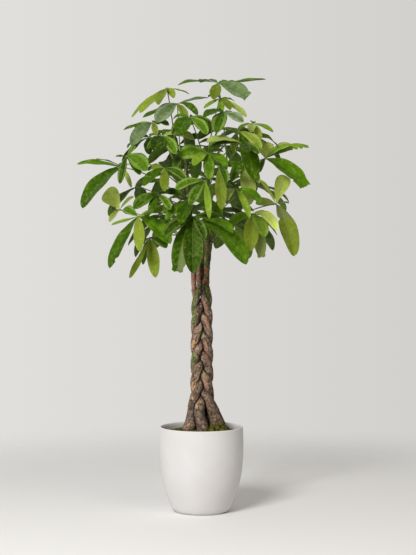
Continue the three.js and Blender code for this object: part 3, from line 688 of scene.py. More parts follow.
def mossTop(x, y):
    swell = moss["swell"] * math.sin(x / 0.019 + 1) * math.sin(y / 0.023 + 2)
    ripple = moss["ripple"] * math.sin(x / 0.011 - y / 0.013)
    climb = 0.0
    for mound in mossMounds:
        away = math.hypot(x - mound["x"], y - mound["y"]) / mound["width"]
        climb += mound["height"] * math.exp(-away * away)
    return soilHeight(math.hypot(x, y)) + moss["thickness"] + swell + ripple + climb


def mossReach(turn):
    broad, narrow = moss["edgeSwells"]
    return moss["radius"] + broad * math.sin(3 * turn + 1) + narrow * math.sin(7 * turn)


def mossPlace(share, turn):  # a point of the moss's surface
    radius = share * mossReach(turn)
    x = radius * math.cos(turn)
    y = radius * math.sin(turn)
    ground = soilHeight(radius) + moss["edgeThickness"]
    grain = moss["grain"] * noise.fractal(Vector((x, y, 0)) * 180, 1.0, 2.0, 3)
    return Vector((x, y, mix(mossTop(x, y), ground, smoothstep(moss["edgeStart"], 1.0, share)) + grain))


def mossFinish():
    finish = Finish("moss_sprigs")
    place = finish.place()
    broad = finish.cloud(place, 34, 3)
    fine = finish.cloud(place, 240, 4, 0.6)
    tip = finish.attribute("tip")
    clumps = finish.cloud(place, 95, 3, 0.6)
    colour = finish.blend(clumps.ease(0.40, 0.62), tint(32, 29, 7), tint(98, 94, 14))
    colour = finish.blend(broad.ease(0.55, 0.72) * 0.7, colour, tint(120, 92, 40))
    colour = finish.blend(tip * (0.1 + 0.8 * clumps.ease(0.42, 0.66)), colour, tint(138, 130, 32))
    return finish.set(color=colour, rough=0.95, normal=finish.bumps(fine, 0.0015, 0.7), specular=0.15,
                      sheen=0.15)


def makeMoss():
    top = [(i / moss["rings"], 1) for i in range(moss["rings"] + 1)]
    underside = [(share, 0) for share in moss["underRings"]]
    bm = turnedBody(top + underside, moss["facets"])
    for vert in bm.verts:
        share = math.hypot(vert.co.x, vert.co.y)
        turn = math.atan2(vert.co.y, vert.co.x)
        if vert.co.z > 0.5:
            vert.co = mossPlace(share, turn)
        else:
            radius = share * mossReach(turn)
            vert.co = polar(radius, turn, soilHeight(radius) + soil["gap"])
    pointOutwards(bm)
    bm = renumbered(bm)
    tip = bm.verts.layers.float.new("tip")
    cone = bmesh.new()
    bmesh.ops.create_cone(cone, cap_ends=True, segments=4, radius1=1, radius2=moss["sprigPoint"], depth=1)
    sprig = storedMesh("sprig", cone)
    for i, corners in enumerate(addCopies(bm, sprig, moss["sprigs"])):
        share = math.sqrt(0.5 + 0.5 * vary(i, 41))
        spot = mossPlace(share, math.pi * vary(i, 42))
        lean = Vector((moss["sprigLean"] * vary(i, 43), moss["sprigLean"] * vary(i, 44), 1)).normalized()
        turned = up.rotation_difference(lean)
        size = moss["sprigSize"] + moss["sprigSpread"] * vary(i, 45)
        for vert in corners:
            rise = vert.co.z + 0.5
            flat = Vector((vert.co.x, vert.co.y, 0)) * moss["sprigRadius"] * size
            bend = Vector((vary(i, 46), vary(i, 47), 0)) * moss["sprigBend"] * rise * rise
            stand = lean * moss["sprigHeight"] * size * (rise - moss["sprigRoot"])
            vert.co = spot + turned @ flat + stand + bend
            vert[tip] = rise
    bpy.data.meshes.remove(sprig)
    addPiece("moss_pad", bm, [mossFinish()], ["moss"])


makeMoss()
print("moss made")


# Leaves: each is a stalk with a ring of leaflets at its hub

leaf = {
    "stalkRadius": 0.0023,
    "stalkSwell": 0.5,
    "stalkDrop": 0.030,
    "stalkFall": 0.45,
    "stalkArch": 0.16,
    "stalkShortest": 0.060,
    "highestCommonBase": 1.200,
    "lowestBase": 0.945,
    "baseBelowTip": 0.008,
    "thickness": 0.001,
    "fineThickness": 0.0006,
    "width": 0.35,
    "fold": 0.27,
    "basePower": 1.15,
    "tipPower": 0.6,
    "rows": 60,
    "columns": 8,
    "veins": 10,
    "veinSlope": 0.14,
    "quilt": 0.0017,
    "wave": 0.0014,
    "calmHalf": 0.018,
    "scallop": 0.007,
    "twist": 9,
    "curl": 0.035,
    "toothDepth": 0.022,
    "hub": 0.0042,
    "hubFlatness": 0.62,
    "foldPull": (1.18, 0.3),
    "waves": 15,
    "curlBetween": (0.72, 1.15),
    "rootShare": 0.02,
    "narrowest": 0.0006,
    "shine": tint(215, 255, 130),
    "paintedGlintLengths": (0.105, 0.150),
    "paintedSheen": tint(138, 150, 98),
    "margin": tint(140, 150, 50),
    "paleVein": tint(150, 176, 84),
    "stalkSide": Vector((0.3, 1, 0)),
    "stalkSides": 10,
    "stalkRings": 14,
    "stalkSeam": 0.0001,
    "stalkThickness": (0.86, 0.5),
    "stalkThickFrom": 0.93,
    "foundWithin": 0.00006,
    "foundRing": 2 / 3,
}
bladeLayers = ("across", "along", "seed", "paintedGlint", "paintedSheen")

# The leaves of the front, in millimetres: hub, the facing and tilt of the hand in degrees, how far its
# leaflets arch, the tone of each leaflet, and each leaflet's tip from the hub. A tip may be followed by how
# far the leaflet's face is turned towards the viewer (0 to 1), by a factor of its width and by its own arch.
frontLeaves = [
    ((60, 0, 1528), -90, 12, 0.05, "mmgomm",
     [(-142, -30, -9), (171, 20, 19, 0, 1, -0.03), (106, -60, -56, 0.7, 1.15), (-15, -95, -68),
      (-63, 110, 19), (70, 115, 10)]),
    ((-122, -20, 1506), -130, 35, 0.1, "byoybb",
     [(-124, -10, -100, 0, 0.7, 0.03), (-92, -70, -91, 0.35, 0.75, 0.03), (-23, -85, -75, 0, 1.1),
      (13, -70, -38), (80, 20, -17, 0, 0.6, 0.04), (-25, 80, -25)]),
    ((-84, -60, 1447), -100, 30, 0.08, "dgodgd",
     [(-125, -25, -34, 0, 0.6, 0), (-76, -70, -60, 0.9, 1.25), (33, -50, -60),
      (72, -60, -45, 0, 0.8, 0.14), (110, 45, 28, 0, 0.6, 0.02), (-50, 80, -20)]),
    ((67, -60, 1466), -80, 38, 0.1, "bbolbb",
     [(-57, -50, -39, 0, 0.6, 0.02), (-26, -45, -64), (29, -50, -59), (92, -30, -66, 0, 0.7, 0.04),
      (53, 50, -4, 0, 0.7, 0.05), (-40, 70, 5)]),
    ((181, -40, 1378), -80, 45, 0.1, "blybm",
     [(-56, -40, -30, 0, 0.6, 0.12), (-8, -75, -36), (25, -50, -61), (65, -30, -43, 0, 0.75, 0.08),
      (5, 60, 10)]),
    ((80, -150, 1408), -95, 40, 0.1, "dgddd",
     [(-27, -85, -78, 0, 1.3), (65, -60, -38, 0.7, 0.9, 0.03), (-68, -60, -33), (50, 70, 5),
      (-45, 70, 5)]),
    ((-40, -165, 1388), -88, 45, 0.1, "dmkdmd",
     [(-34, -90, -65, 0, 1.4), (49, -85, -61, 0, 1.15), (-62, -50, -55), (78, 20, -24), (-60, 60, 0),
      (30, 80, 5)]),
    ((-171, -70, 1379), -120, 42, 0.1, "gdomdm",
     [(-70, -70, -83, 0.9), (-100, -20, -25, 0, 0.6, 0.03), (16, -45, -48), (70, -60, -18), (20, 85, 5),
      (-64, 10, -13, 0.5, 0.9, 0.04)]),
    ((-136, -160, 1324), -95, 45, 0.1, "kmdldd",
     [(-19, -85, -59, 0.4, 1.4), (49, -60, -64, 0, 1.2), (-51, -50, -42, 0, 0.6, 0.12),
      (105, -30, -41, 0, 0.9, 0.12), (-30, 70, 5), (30, 70, 5)]),
    ((-262, -60, 1262), -115, 45, 0.1, "kmddm",
     [(-22, -35, -96, 0.4, 0.8), (75, -80, -53, 0.5, 1.35), (45, -40, -71), (-41, 30, 4, 0, 0.6, 0),
      (28, 20, 40, 0.5, 0.9, 0)]),
    ((-284, 0, 1228), -135, 35, 0.1, "mmdldd",
     [(-90, -70, 23, 0, 0.6, 0.06), (-161, 25, 17, 0, 0.6, 0.04), (-136, -40, -143, 0.2, 1.15),
      (36, -20, -72, 0, 0.6), (60, 90, 5), (-40, 120, -15)]),
    ((-296, 60, 1078), -110, 55, 0.08, "hllo",
     [(-52, 15, 71, 1, 1.9), (-33, -40, -43), (51, 20, 51, 0, 0.5), (-32, 20, -11, 0, 0.9)]),
    ((-222, -80, 1050), -110, 40, 0.1, "dbymbm",
     [(-96, -50, -176, 0, 0.65, 0.07), (-92, -15, -28, 0, 0.6, -0.02), (12, -80, -121, 0, 0.8),
      (99, -70, -105), (117, -20, 27, 0, 1, 0.04), (-53, 60, 32, 0.5, 1.2, 0.02)]),
    ((-183, -30, 975), -100, 50, 0.1, "yoddkm",
     [(23, -50, -136, 0, 0.85), (-70, -20, -138, 0, 0.45, -0.05), (-27, 60, -92, 0, 0.7),
      (62, -60, -34, 0, 1.2), (26, -80, -64, 0, 1.3), (-35, 20, -32)]),
    ((-28, -170, 1045), -90, 58, 0.1, "kdkkdk",
     [(1, -60, -188), (-54, -10, -186), (42, -60, -73), (-95, -50, -60), (90, 20, -40), (-50, 80, -10)]),
    ((5, -180, 1029), -65, 50, 0.12, "mdmmd",
     [(149, -50, -142, 0, 1.1, 0.14), (50, -60, -74, 0.3, 1.1), (-40, 60, -40), (103, -90, -37, 0, 0.8),
      (-60, 70, -5)]),
    ((181, -60, 1059), -70, 50, 0.1, "ybhymg",
     [(-13, -60, -129, 0, 1.1), (38, -95, -79, 0, 1.15), (72, -55, -78, 0, 1, 0.2),
      (31, -10, -151, 0, 0.95), (-80, -40, -50), (68, 70, 6)]),
    ((265, -20, 1096), -60, 50, 0.08, "yhmlhm",
     [(62, -40, -181, 0, 1.05, 0.12), (38, 30, 104, 1, 1.35), (43, -50, 2, 0, 1, 0.02),
      (-72, -10, 3, 0.6, 1.2), (-57, 20, 88, 0, 0.5), (36, 50, -84)]),
    ((228, 0, 1258), -60, 35, 0.11, "mbblhd",
     [(138, -60, -102, 0.4, 1, 0.1), (95, 0, 50), (159, 35, 49, 0, 0.6, 0.06), (-31, -10, 67, 0.8, 1.5),
      (24, 60, 62), (-23, -85, -52, 0, 0.5)]),
    ((131, -140, 1340), -80, 60, 0.1, "dbygd",
     [(30, -40, -168), (-20, 60, -60), (75, -50, -60), (-70, 20, -20, 0, 0.7), (40, 70, 10)]),
    ((136, -185, 1298), -95, 35, 0.08, "dldkd",
     [(-111, -15, -17), (-112, -55, -33), (60, -60, -40), (20, -90, -50), (40, 80, 5)]),
    ((24, -160, 1264), -80, 45, 0.1, "mbmmd",
     [(63, -80, -52), (-50, -75, -45), (-100, -10, -7, 0.7, 1.5), (5, -80, -80), (60, 50, 5)]),
    ((62, -200, 1218), -90, 50, 0.1, "kdoddd",
     [(-68, -60, -55), (24, -70, -60), (8, -50, -148, 0, 0.7), (75, -40, -20), (-40, 60, 10),
      (40, 60, 10)]),
    ((-126, -160, 1212), -95, 55, 0.1, "oddod",
     [(2, -50, -80), (-70, -50, -60), (70, -50, -50), (-60, 50, 0), (50, 60, 5)]),
    ((14, -215, 1166), -95, 48, 0.1, "mdbkd",
     [(-98, -50, -30), (-54, -70, -75), (15, -80, -128, 0, 0.45), (75, -40, -14), (0, 80, 10)]),
    ((150, -110, 1245), -75, 55, 0.1, "lbmdd",
     [(-7, -50, -154), (55, -60, -76, 0, 0.7), (-70, -50, -60), (51, 20, -8), (0, 80, 5)]),
    ((-150, -130, 1124), -105, 50, 0.1, "ddmkd",
     [(-81, -40, -48, 0.5, 1.2), (-28, -40, -65), (35, -40, -58), (80, -20, -20), (0, 80, 5)]),
    ((120, -170, 1142), -75, 50, 0.1, "lbmdd",
     [(-60, -60, -60), (45, -70, -99, 0, 0.6), (80, -50, -60), (-60, 50, 0), (60, 50, 5)]),
]

# The rest of the crown: height, how far its hubs stand out, from and to which direction in degrees, the
# number of leaves and the length of a leaflet
tiers = [
    (1.035, 0.215, 30, 150, 5, 0.160),
    (1.190, 0.255, 35, 145, 5, 0.155),
    (1.330, 0.205, 25, 155, 4, 0.140),
    (1.400, 0.115, 50, 130, 2, 0.115),
    (1.120, 0.120, 60, 250, 3, 0.140),
    (1.290, 0.095, 100, 240, 2, 0.130),
]
tierTones = "dmdbdmgddm"
tierRule = {
    "facingDraw": 6,
    "reachDraw": 0.1,
    "heightDraw": 0.035,
    "tilt": 30,
    "tiltDraw": 12,
    "leaflets": 5,
    "between": 72,
    "swingDraw": 8,
    "lengths": (0.86, 0.14),
    "lengthDraw": 0.07,
    "droop": 0.3,
    "droopDraw": 0.1,
}

# What a leaflet may have been given to clear its neighbours: swing in degrees, lift and scale
leafletTries = [
    (0, 0, 1), (0, -0.12, 1), (0, 0.12, 1), (9, 0, 1), (-9, 0, 1), (9, -0.15, 1), (-9, -0.15, 1),
    (0, -0.25, 1), (0, 0.25, 1), (16, 0, 0.95), (-16, 0, 0.95), (16, -0.25, 0.9), (-16, -0.25, 0.9),
    (0, -0.4, 0.9), (22, 0.1, 0.85), (-22, 0.1, 0.85), (0, 0, 0.72), (0, -0.3, 0.72),
    (20, -0.2, 0.7), (-20, -0.2, 0.7), (0, 0.2, 0.62), (0, -0.2, 0.55),
]
stalkBows = (0, 0.14, -0.14, 0.26, -0.26)
stalkShifts = (0, -14, 14, -28, 28, -42, 42, -56, -70, -84, -98)


def facingOf(facing, tilt):
    lean = math.sin(math.radians(tilt))
    turn = math.radians(facing)
    return polar(lean, turn, math.cos(math.radians(tilt)))


def triedTip(tip, normal, swing, lift, scale):
    length = tip.length
    moved = Quaternion(normal, math.radians(swing)) @ tip + up * (lift * length)
    return moved.normalized() * (length * scale)


def tierTips(item, hub, normal, length):  # leaflets evenly round a hub, the outer ones longest
    flat = Vector((hub.x, hub.y, 0))
    outward = (flat - normal * flat.dot(normal)).normalized()
    shortest, longer = tierRule["lengths"]
    tips = []
    for k in range(tierRule["leaflets"]):
        swing = (k - 2) * tierRule["between"] + tierRule["swingDraw"] * vary(item, 10 + k)
        share = shortest + longer * math.cos(math.radians(swing))
        size = length * share * (1 + tierRule["lengthDraw"] * vary(item, 20 + k))
        spread = Quaternion(normal, math.radians(swing)) @ outward * size
        spread -= up * size * (tierRule["droop"] + tierRule["droopDraw"] * vary(item, 30 + k))
        tips.append(spread.normalized() * size)
    return tips


# Blades that look fuller than their solid, which had to clear its neighbours
fullness = {(11, 3): 1.15, (12, 1): 1.15, (18, 1): 1.12, (19, 1): 1.12, (13, 1): 1.08, (12, 3): 1.3}

# Parts of blades with a painted greyish sheen: side (0 for both), and from and to which share of the length
paintedSheenParts = {
    (15, 2): (-1, 0.55, 1.0),
    (17, 4): (0, 0.0, 1.0),
    (18, 1): (0, 0.0, 0.45),
    (18, 3): (0, 0.0, 0.7),
}

# Blades with a torn end: the share of the length from which they keep their width, and their teeth
tornTips = {(1, 3): (0.90, 1), (15, 2): (0.93, 2), (17, 4): (0.93, 2), (19, 1): (0.88, 3), (19, 3): (0.95, 2)}

# Bites out of the edge: side, place along the blade, reach along it and depth, as shares
edgeBites = {
    (13, 1): [(-1, 0.87, 0.030, 0.4)],
    (18, 1): [(1, 0.42, 0.05, 0.25)],
    (19, 1): [(1, 0.80, 0.03, 0.2)],
    (19, 3): [(1, 0.62, 0.03, 0.5), (1, 0.74, 0.03, 0.6), (1, 0.86, 0.03, 0.5)],
}


def crownRows():
    rows = []
    for hub, facing, tilt, arch, tones, tips in frontLeaves:
        hand = facingOf(facing, tilt)
        leaflets = []
        for k, (tone, (x, y, z, *rest)) in enumerate(zip(tones, tips)):
            face, wide, ownArch = (*rest, *(0, 1, arch)[len(rest):])
            leaflets.append({"tip": Vector((x, y, z)) * mm, "wide": wide, "arch": ownArch, "tone": tone,
                             "normal": hand.lerp(towardsViewer, face).normalized(),
                             "name": (len(rows) + 1, k + 1)})
        rows.append({"hub": Vector(hub) * mm, "normal": hand, "leaflets": leaflets})
    for height, reach, start, end, leaves, length in tiers:
        for i in range(leaves):
            item = len(rows)
            facing = mix(start, end, i / (leaves - 1)) + tierRule["facingDraw"] * vary(item, 1)
            out = reach * (1 + tierRule["reachDraw"] * vary(item, 2))
            hub = polar(out, math.radians(facing), height + tierRule["heightDraw"] * vary(item, 3))
            normal = facingOf(facing, tierRule["tilt"] + tierRule["tiltDraw"] * vary(item, 4))
            leaflets = []
            for k, tip in enumerate(tierTips(item, hub, normal, length)):
                tone = tierTones[(item * 3 + k * 7) % len(tierTones)]
                leaflets.append({"tip": tip, "wide": 1, "arch": 0.1, "tone": tone, "normal": normal,
                                 "name": (item + 1, k + 1)})
            rows.append({"hub": hub, "normal": normal, "leaflets": leaflets})
    return rows


def halfWidth(leaflet, along):
    def outline(place):
        return place ** leaf["basePower"] * (1 - place) ** leaf["tipPower"]
    widest = leaf["basePower"] / (leaf["basePower"] + leaf["tipPower"])
    largest = leaf["width"] / 2 * leaflet["wide"] * leaflet["tip"].length
    return largest * outline(clamp(along)) / outline(widest)


def ribFrame(leaflet, along):  # the rib's place from the hub, its direction, and the ways aside and above
    tip = leaflet["tip"]
    arch = leaflet["arch"]
    length = tip.length
    tangent = (tip + up * (arch * length * 4 * (1 - 2 * along))).normalized()
    aside = tangent.cross(leaflet["normal"]).normalized()
    above = aside.cross(tangent)
    place = tip * along + up * (arch * length * 4 * along * (1 - along))
    return place, tangent, aside, above


def nodePoints(node):
    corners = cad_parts[node].data.vertices
    tree = KDTree(len(corners))
    for i, corner in enumerate(corners):
        tree.insert(corner.co, i)
    tree.balance()
    return tree


def holds(points, place):  # whether the node has a corner there
    return points.find(place)[2] < leaf["foundWithin"]


def leafletsOf(row, points):  # the leaflets as they stand in the node, found by their tips
    found = []
    for leaflet in row["leaflets"]:
        for attempt in leafletTries:
            tried = {**leaflet, "tip": triedTip(leaflet["tip"], row["normal"], *attempt)}
            place, _, _, above = ribFrame(tried, 1)
            if holds(points, row["hub"] + place + above * (leaf["thickness"] / 2)):
                found.append(tried)
                break
    return found


def stemFor(hub):
    low = min(hub.z - leaf["stalkShortest"], leaf["highestCommonBase"])
    spread = [(stemCentre(k, low) - hub.xy).length for k in range(len(stems))]
    return spread.index(min(spread))


def stalkRoute(hub, stem, bow, shift):
    top = stems[stem]["tip"][2] - leaf["baseBelowTip"]
    flat = (stemCentre(stem, min(hub.z, top)) - hub.xy).length
    wanted = clamp(hub.z - leaf["stalkDrop"] - leaf["stalkFall"] * flat, leaf["lowestBase"], top)
    base = clamp(wanted + shift * mm, leaf["lowestBase"], top)
    centre = stemCentre(stem, base)
    start = Vector((centre.x, centre.y, base))
    span = hub - start
    aside = span.cross(up).normalized()
    middle = start + span / 2 + up * (leaf["stalkArch"] * span.length) + aside * (bow * span.length)
    return start, middle, hub


def stalkRing(route, along):  # centre, two directions across, and radius of the stalk
    start, middle, hub = route
    centre = quadratic(start, middle, hub, along)
    direction = ((middle - start) * (1 - along) + (hub - middle) * along).normalized()
    across = leaf["stalkSide"].cross(direction).normalized()
    depth = across.cross(direction)
    radius = leaf["stalkRadius"] * (1 + leaf["stalkSwell"] * (1 - along) ** 3)
    return centre, across, depth, radius


def stalkOf(row, points):  # the stalk as it stands in the node, found by the corners of a ring of its solid
    stem = stemFor(row["hub"])
    for bow in stalkBows:
        for shift in stalkShifts:
            route = stalkRoute(row["hub"], stem, bow, shift)
            centre, across, depth, radius = stalkRing(route, leaf["foundRing"])
            corners = [across * radius, depth * radius, across * -radius, depth * -radius]
            if sum(holds(points, centre + corner) for corner in corners) >= 2:
                return route
    raise SystemExit(f"no stalk found for the leaf at {row['hub']}")


# Tones of the blades: the upper face, its mottling and the light that shines through, what the underside
# tends to, the painted highlight and painted shadow dapples, how rough the upper face is and how strong the
# painted dapples and the painted margin highlights are
# The tones are partly the blades' own colours and partly painted light and shade, lighter or darker for how
# much light each blade catches
tones = {
    "k": {"top": tint(50, 78, 2), "deep": tint(34, 60, 0), "glow": tint(96, 134, 4),
          "under": tint(92, 118, 60), "glint": tint(138, 166, 82), "shadow": tint(22, 44, 0),
          "rough": 0.34, "paintedDapples": 0.28},
    "d": {"top": tint(71, 107, 0), "deep": tint(50, 83, 0), "glow": tint(116, 156, 6),
          "under": tint(120, 142, 84), "glint": tint(158, 184, 96), "shadow": tint(30, 56, 0),
          "rough": 0.34, "paintedDapples": 0.28},
    "m": {"top": tint(101, 140, 16), "deep": tint(72, 111, 4), "glow": tint(144, 184, 18),
          "under": tint(146, 166, 100), "glint": tint(174, 198, 108), "shadow": tint(44, 78, 0),
          "rough": 0.36, "paintedDapples": 0.28},
    "b": {"top": tint(142, 172, 54), "deep": tint(116, 148, 36), "glow": tint(178, 204, 34),
          "under": tint(160, 180, 116), "glint": tint(198, 214, 130), "shadow": tint(82, 120, 10),
          "rough": 0.44, "paintedDapples": 0.25},
    "y": {"top": tint(154, 170, 60), "deep": tint(130, 150, 46), "glow": tint(184, 198, 50),
          "under": tint(164, 178, 116), "glint": tint(196, 208, 130), "shadow": tint(100, 118, 24),
          "rough": 0.44, "paintedDapples": 0.2},
    "l": {"top": tint(176, 192, 104), "deep": tint(156, 176, 84), "glow": tint(204, 218, 90),
          "under": tint(200, 214, 138), "glint": tint(214, 226, 156), "shadow": tint(134, 156, 54),
          "rough": 0.50, "paintedDapples": 0.15},
    # Painted light: h is for pale blades, painted paler still where other leaves shade them
    "h": {"top": tint(238, 250, 142), "deep": tint(222, 240, 120), "glow": tint(240, 250, 126),
          "under": tint(240, 255, 170), "glint": tint(244, 250, 186), "shadow": tint(180, 200, 90),
          "rough": 0.52, "paintedDapples": 0.12},
    # Painted sheen: g is green with a greyish sheen painted in
    "g": {"top": tint(124, 140, 104), "deep": tint(88, 116, 56), "glow": tint(124, 160, 40),
          "under": tint(150, 168, 116), "glint": tint(184, 200, 170), "shadow": tint(66, 92, 40),
          "rough": 0.40, "paintedDapples": 0.25},
    "o": {"top": tint(126, 144, 46), "deep": tint(104, 122, 30), "glow": tint(174, 184, 60),
          "under": tint(156, 168, 106), "glint": tint(180, 190, 112), "shadow": tint(86, 98, 20),
          "rough": 0.46, "paintedDapples": 0.2},
}
toneOrder = list(tones)


def bladeFinish(tone, under):
    finish = Finish(f"blade_{tone}_{'under' if under else 'upper'}")
    look = tones[tone]
    place = finish.place()
    across = abs(finish.attribute("across"))
    along = finish.attribute("along")
    seed = finish.attribute("seed")
    broad = finish.cloud(place, 30, 3)
    fine = finish.cloud(place, 300, 4, 0.6)
    sideVein = ((along - across * leaf["veinSlope"]) * leaf["veins"]).fraction()
    sideVein = 1 - abs(sideVein - 0.5).ease(0.0, 0.12)
    rib = 1 - across.ease(0.02, 0.08)
    colour = finish.blend(broad.ease(0.3, 0.7), look["top"], look["deep"])
    colour = finish.blend(seed * 0.35, colour, look["deep"])
    colour = finish.blend(across.ease(0.8, 1.0) * 0.25, colour, leaf["margin"])
    # Painted highlight and painted shadow dapples: light and dark spots that stand in for light on a bumpy
    # glossy face; the same noise also makes the bumps
    dapple = finish.cloud(place, 80, 2)
    colour = finish.blend((1 - dapple.ease(0.30, 0.50)) * look["paintedDapples"], colour, look["shadow"])
    colour = finish.blend(dapple.ease(0.52, 0.72) * look["paintedDapples"], colour, look["glint"])
    # Painted sheen: a greyish reflection over the listed parts of some blades
    colour = finish.blend(finish.attribute("paintedSheen") * 0.75, colour, leaf["paintedSheen"])
    if under:
        colour = finish.blend(0.42, colour, look["under"])
        colour = finish.blend(sideVein * 0.35, colour, leaf["paleVein"])
    else:
        colour = finish.blend(sideVein * 0.08, colour, leaf["paleVein"])
        # Painted highlights: pale dashes between the side veins near the margin of the upper face
        margin = across.ease(0.4, 0.62) * (1 - across.ease(0.82, 0.96)) * finish.attribute("paintedGlint")
        colour = finish.blend((1 - sideVein) * margin * look["paintedDapples"] * 2, colour, look["glint"])
    colour = finish.blend(rib * (0.55 if under else 0.18), colour, leaf["paleVein"])
    relief = dapple * 1.6 + fine * 0.2 + (sideVein + rib) * (0.6 if under else -0.5)
    rough = look["rough"] + (0.16 if under else 0.0)
    finish.set(color=colour, rough=rough + 0.12 * fine, normal=finish.bumps(relief, 0.0012, 0.9),
               specular=0.15 if under else 0.25, specularTint=leaf["shine"])
    return finish.letLightThrough(look["glow"], 0.3)


def stalkFinish():
    finish = Finish("leaf_stalk")
    place = finish.place()
    broad = finish.cloud(place, 22, 3)
    fine = finish.cloud(place, 420, 3, 0.6)
    colour = finish.blend(broad.ease(0.35, 0.65), tint(132, 152, 58), tint(96, 124, 44))
    colour = finish.blend(fine.ease(0.6, 0.75) * 0.5, colour, tint(84, 72, 40))
    return finish.set(color=colour, rough=0.55, normal=finish.bumps(fine, 0.0004, 0.5), specular=0.4)


def flatBlade():  # a closed thin sheet: x across from -1 to 1, y along from 0 to 1, z above or below
    bm = bmesh.new()
    bmesh.ops.create_grid(bm, x_segments=leaf["columns"], y_segments=leaf["rows"], size=1)
    bmesh.ops.solidify(bm, geom=bm.faces[:], thickness=1)
    middle = sum(vert.co.z for vert in bm.verts) / len(bm.verts)
    for vert in bm.verts:
        vert.co.y = (vert.co.y + 1) / 2
        vert.co.z = 0.5 if vert.co.z > middle else -0.5
    pointOutwards(bm)
    return storedMesh("flat_blade", bm)


def straightStalk():  # a closed tube: x and y on a circle, z along from 0 to 1
    bm = bmesh.new()
    bmesh.ops.create_grid(bm, x_segments=leaf["stalkSides"], y_segments=leaf["stalkRings"], size=1)
    for vert in bm.verts:
        vert.co = polar(1, vert.co.x * math.pi, (vert.co.y + 1) / 2)
    closeTube(bm, leaf["stalkSeam"])
    return storedMesh("straight_stalk", bm)


def roundKnob():
    bm = bmesh.new()
    bmesh.ops.create_icosphere(bm, subdivisions=2, radius=1)
    return storedMesh("round_knob", bm)


def bittenShare(leaflet, reach, across):  # how much of the half width the bites leave
    left = 1.0
    for side, along, spread, depth in edgeBites.get(leaflet["name"], []):
        if side * across > 0:
            left -= depth * (1 - smoothstep(0.4, 1.0, abs(reach - along) / spread))
    return left


def paintedSheenShare(leaflet, reach, across):  # the share of painted sheen here, none where the leaflet isn't listed: 2 to 3 is past its tip
    side, start, end = paintedSheenParts.get(leaflet["name"], (0, 2, 3))
    if side * across < 0:
        return 0.0
    return smoothstep(start - 0.08, start + 0.04, reach) * (1 - smoothstep(end - 0.06, end + 0.06, reach))


def bladeRib(hub, leaflet, reach, cut, twist):  # the rib's place and directions, and half the width there
    place, tangent, aside, above = ribFrame(leaflet, reach)
    lean = Quaternion(tangent, twist * reach * reach)
    sink = up * (-leaf["curl"] * leaflet["tip"].length * smoothstep(*leaf["curlBetween"], reach))
    half = halfWidth(leaflet, min(reach, cut)) * fullness.get(leaflet["name"], 1)
    return hub + place + sink, tangent, lean @ aside, lean @ above, max(half, leaf["narrowest"])


def addBlade(bm, layers, template, hub, leaflet, item):
    corners = addCopies(bm, template, 1)[0]
    slot = toneOrder.index(leaflet["tone"])
    for face in {face for vert in corners for face in vert.link_faces}:
        isUnder = sum(vert.co.z for vert in face.verts) < 0
        face.material_index = 2 * slot + (1 if isUnder else 0)
    length = leaflet["tip"].length
    phase = 3 * vary(item, 50)
    twist = math.radians(leaf["twist"]) * vary(item, 51)
    seed = 0.5 + 0.5 * vary(item, 52)
    # How strong the painted margin highlights are: present on some blades, and none on the largest
    paintedGlint = smoothstep(0.3, 0.7, seed) * (1 - smoothstep(*leaf["paintedGlintLengths"], length))
    cut, teeth = tornTips.get(leaflet["name"], (1, 0))
    pull, release = leaf["foldPull"]
    ribs = {}
    for vert in corners:
        across, along, side = vert.co
        reach = leaf["rootShare"] + (1 - leaf["rootShare"]) * along
        paintedSheen = paintedSheenShare(leaflet, reach, across)
        for name, value in zip(bladeLayers, (across, along, seed, paintedGlint, paintedSheen)):
            vert[layers[name]] = value
        if along not in ribs:
            ribs[along] = bladeRib(hub, leaflet, reach, cut, twist)
        rib, tangent, aside, above, half = ribs[along]
        out = abs(across)
        rise = out * half * leaf["fold"] * (pull - release * out)
        calm = min(1, half / leaf["calmHalf"])
        swing = math.sin(reach * leaf["waves"] + phase + (2 if across > 0 else 0))
        rise += calm * leaf["wave"] * out * out * swing
        vein = abs(math.sin(math.pi * (reach - out * leaf["veinSlope"]) * leaf["veins"]))
        inner = smoothstep(0.02, 0.3, out) * smoothstep(0.04, 0.25, reach)
        rise += calm * leaf["quilt"] * (vein - 0.6) * inner * (1 - smoothstep(0.7, 1.0, out))
        ragged = (1 + leaf["scallop"] * (vein - 0.6) * out) * bittenShare(leaflet, reach, across)
        vert.co = rib + aside * (across * half * ragged) + above * (rise + side * leaf["fineThickness"])
        if reach > cut:
            tooth = abs(math.sin(math.pi * (teeth * across + 1) / 2)) * smoothstep(cut, 1, reach)
            vert.co -= tangent * (length * leaf["toothDepth"] * tooth)


def addStalk(bm, shapes, row, route):
    corners = addCopies(bm, shapes["stalk"], 1)[0]
    thin, thicker = leaf["stalkThickness"]
    rings = {}
    for vert in corners:
        turnX, turnY, along = vert.co
        if along not in rings:
            rings[along] = stalkRing(route, along)
        centre, across, depth, radius = rings[along]
        thick = radius * (thin + thicker * smoothstep(leaf["stalkThickFrom"], 1.0, along))
        vert.co = centre + (across * turnX + depth * turnY) * thick
    knob = addCopies(bm, shapes["knob"], 1)[0]
    turned = row["normal"].to_track_quat("Z", "Y")
    for vert in knob:
        flat = Vector((vert.co.x, vert.co.y, vert.co.z * leaf["hubFlatness"]))
        vert.co = row["hub"] + turned @ flat * leaf["hub"]
    for face in {face for vert in corners + knob for face in vert.link_faces}:
        face.material_index = 2 * len(toneOrder)


def makeLeaf(item, row, shapes, finishes):
    node = f"leaf_{item + 1:02d}"
    points = nodePoints(node)
    bm = bmesh.new()
    layers = {name: bm.verts.layers.float.new(name) for name in bladeLayers}
    found = leafletsOf(row, points)
    for k, leaflet in enumerate(found):
        addBlade(bm, layers, shapes["blade"], row["hub"], leaflet, item * 8 + k)
    addStalk(bm, shapes, row, stalkOf(row, points))
    pointOutwards(bm)
    addPiece(f"foliage_{item + 1:02d}", bm, finishes, [node])
    return len(found)


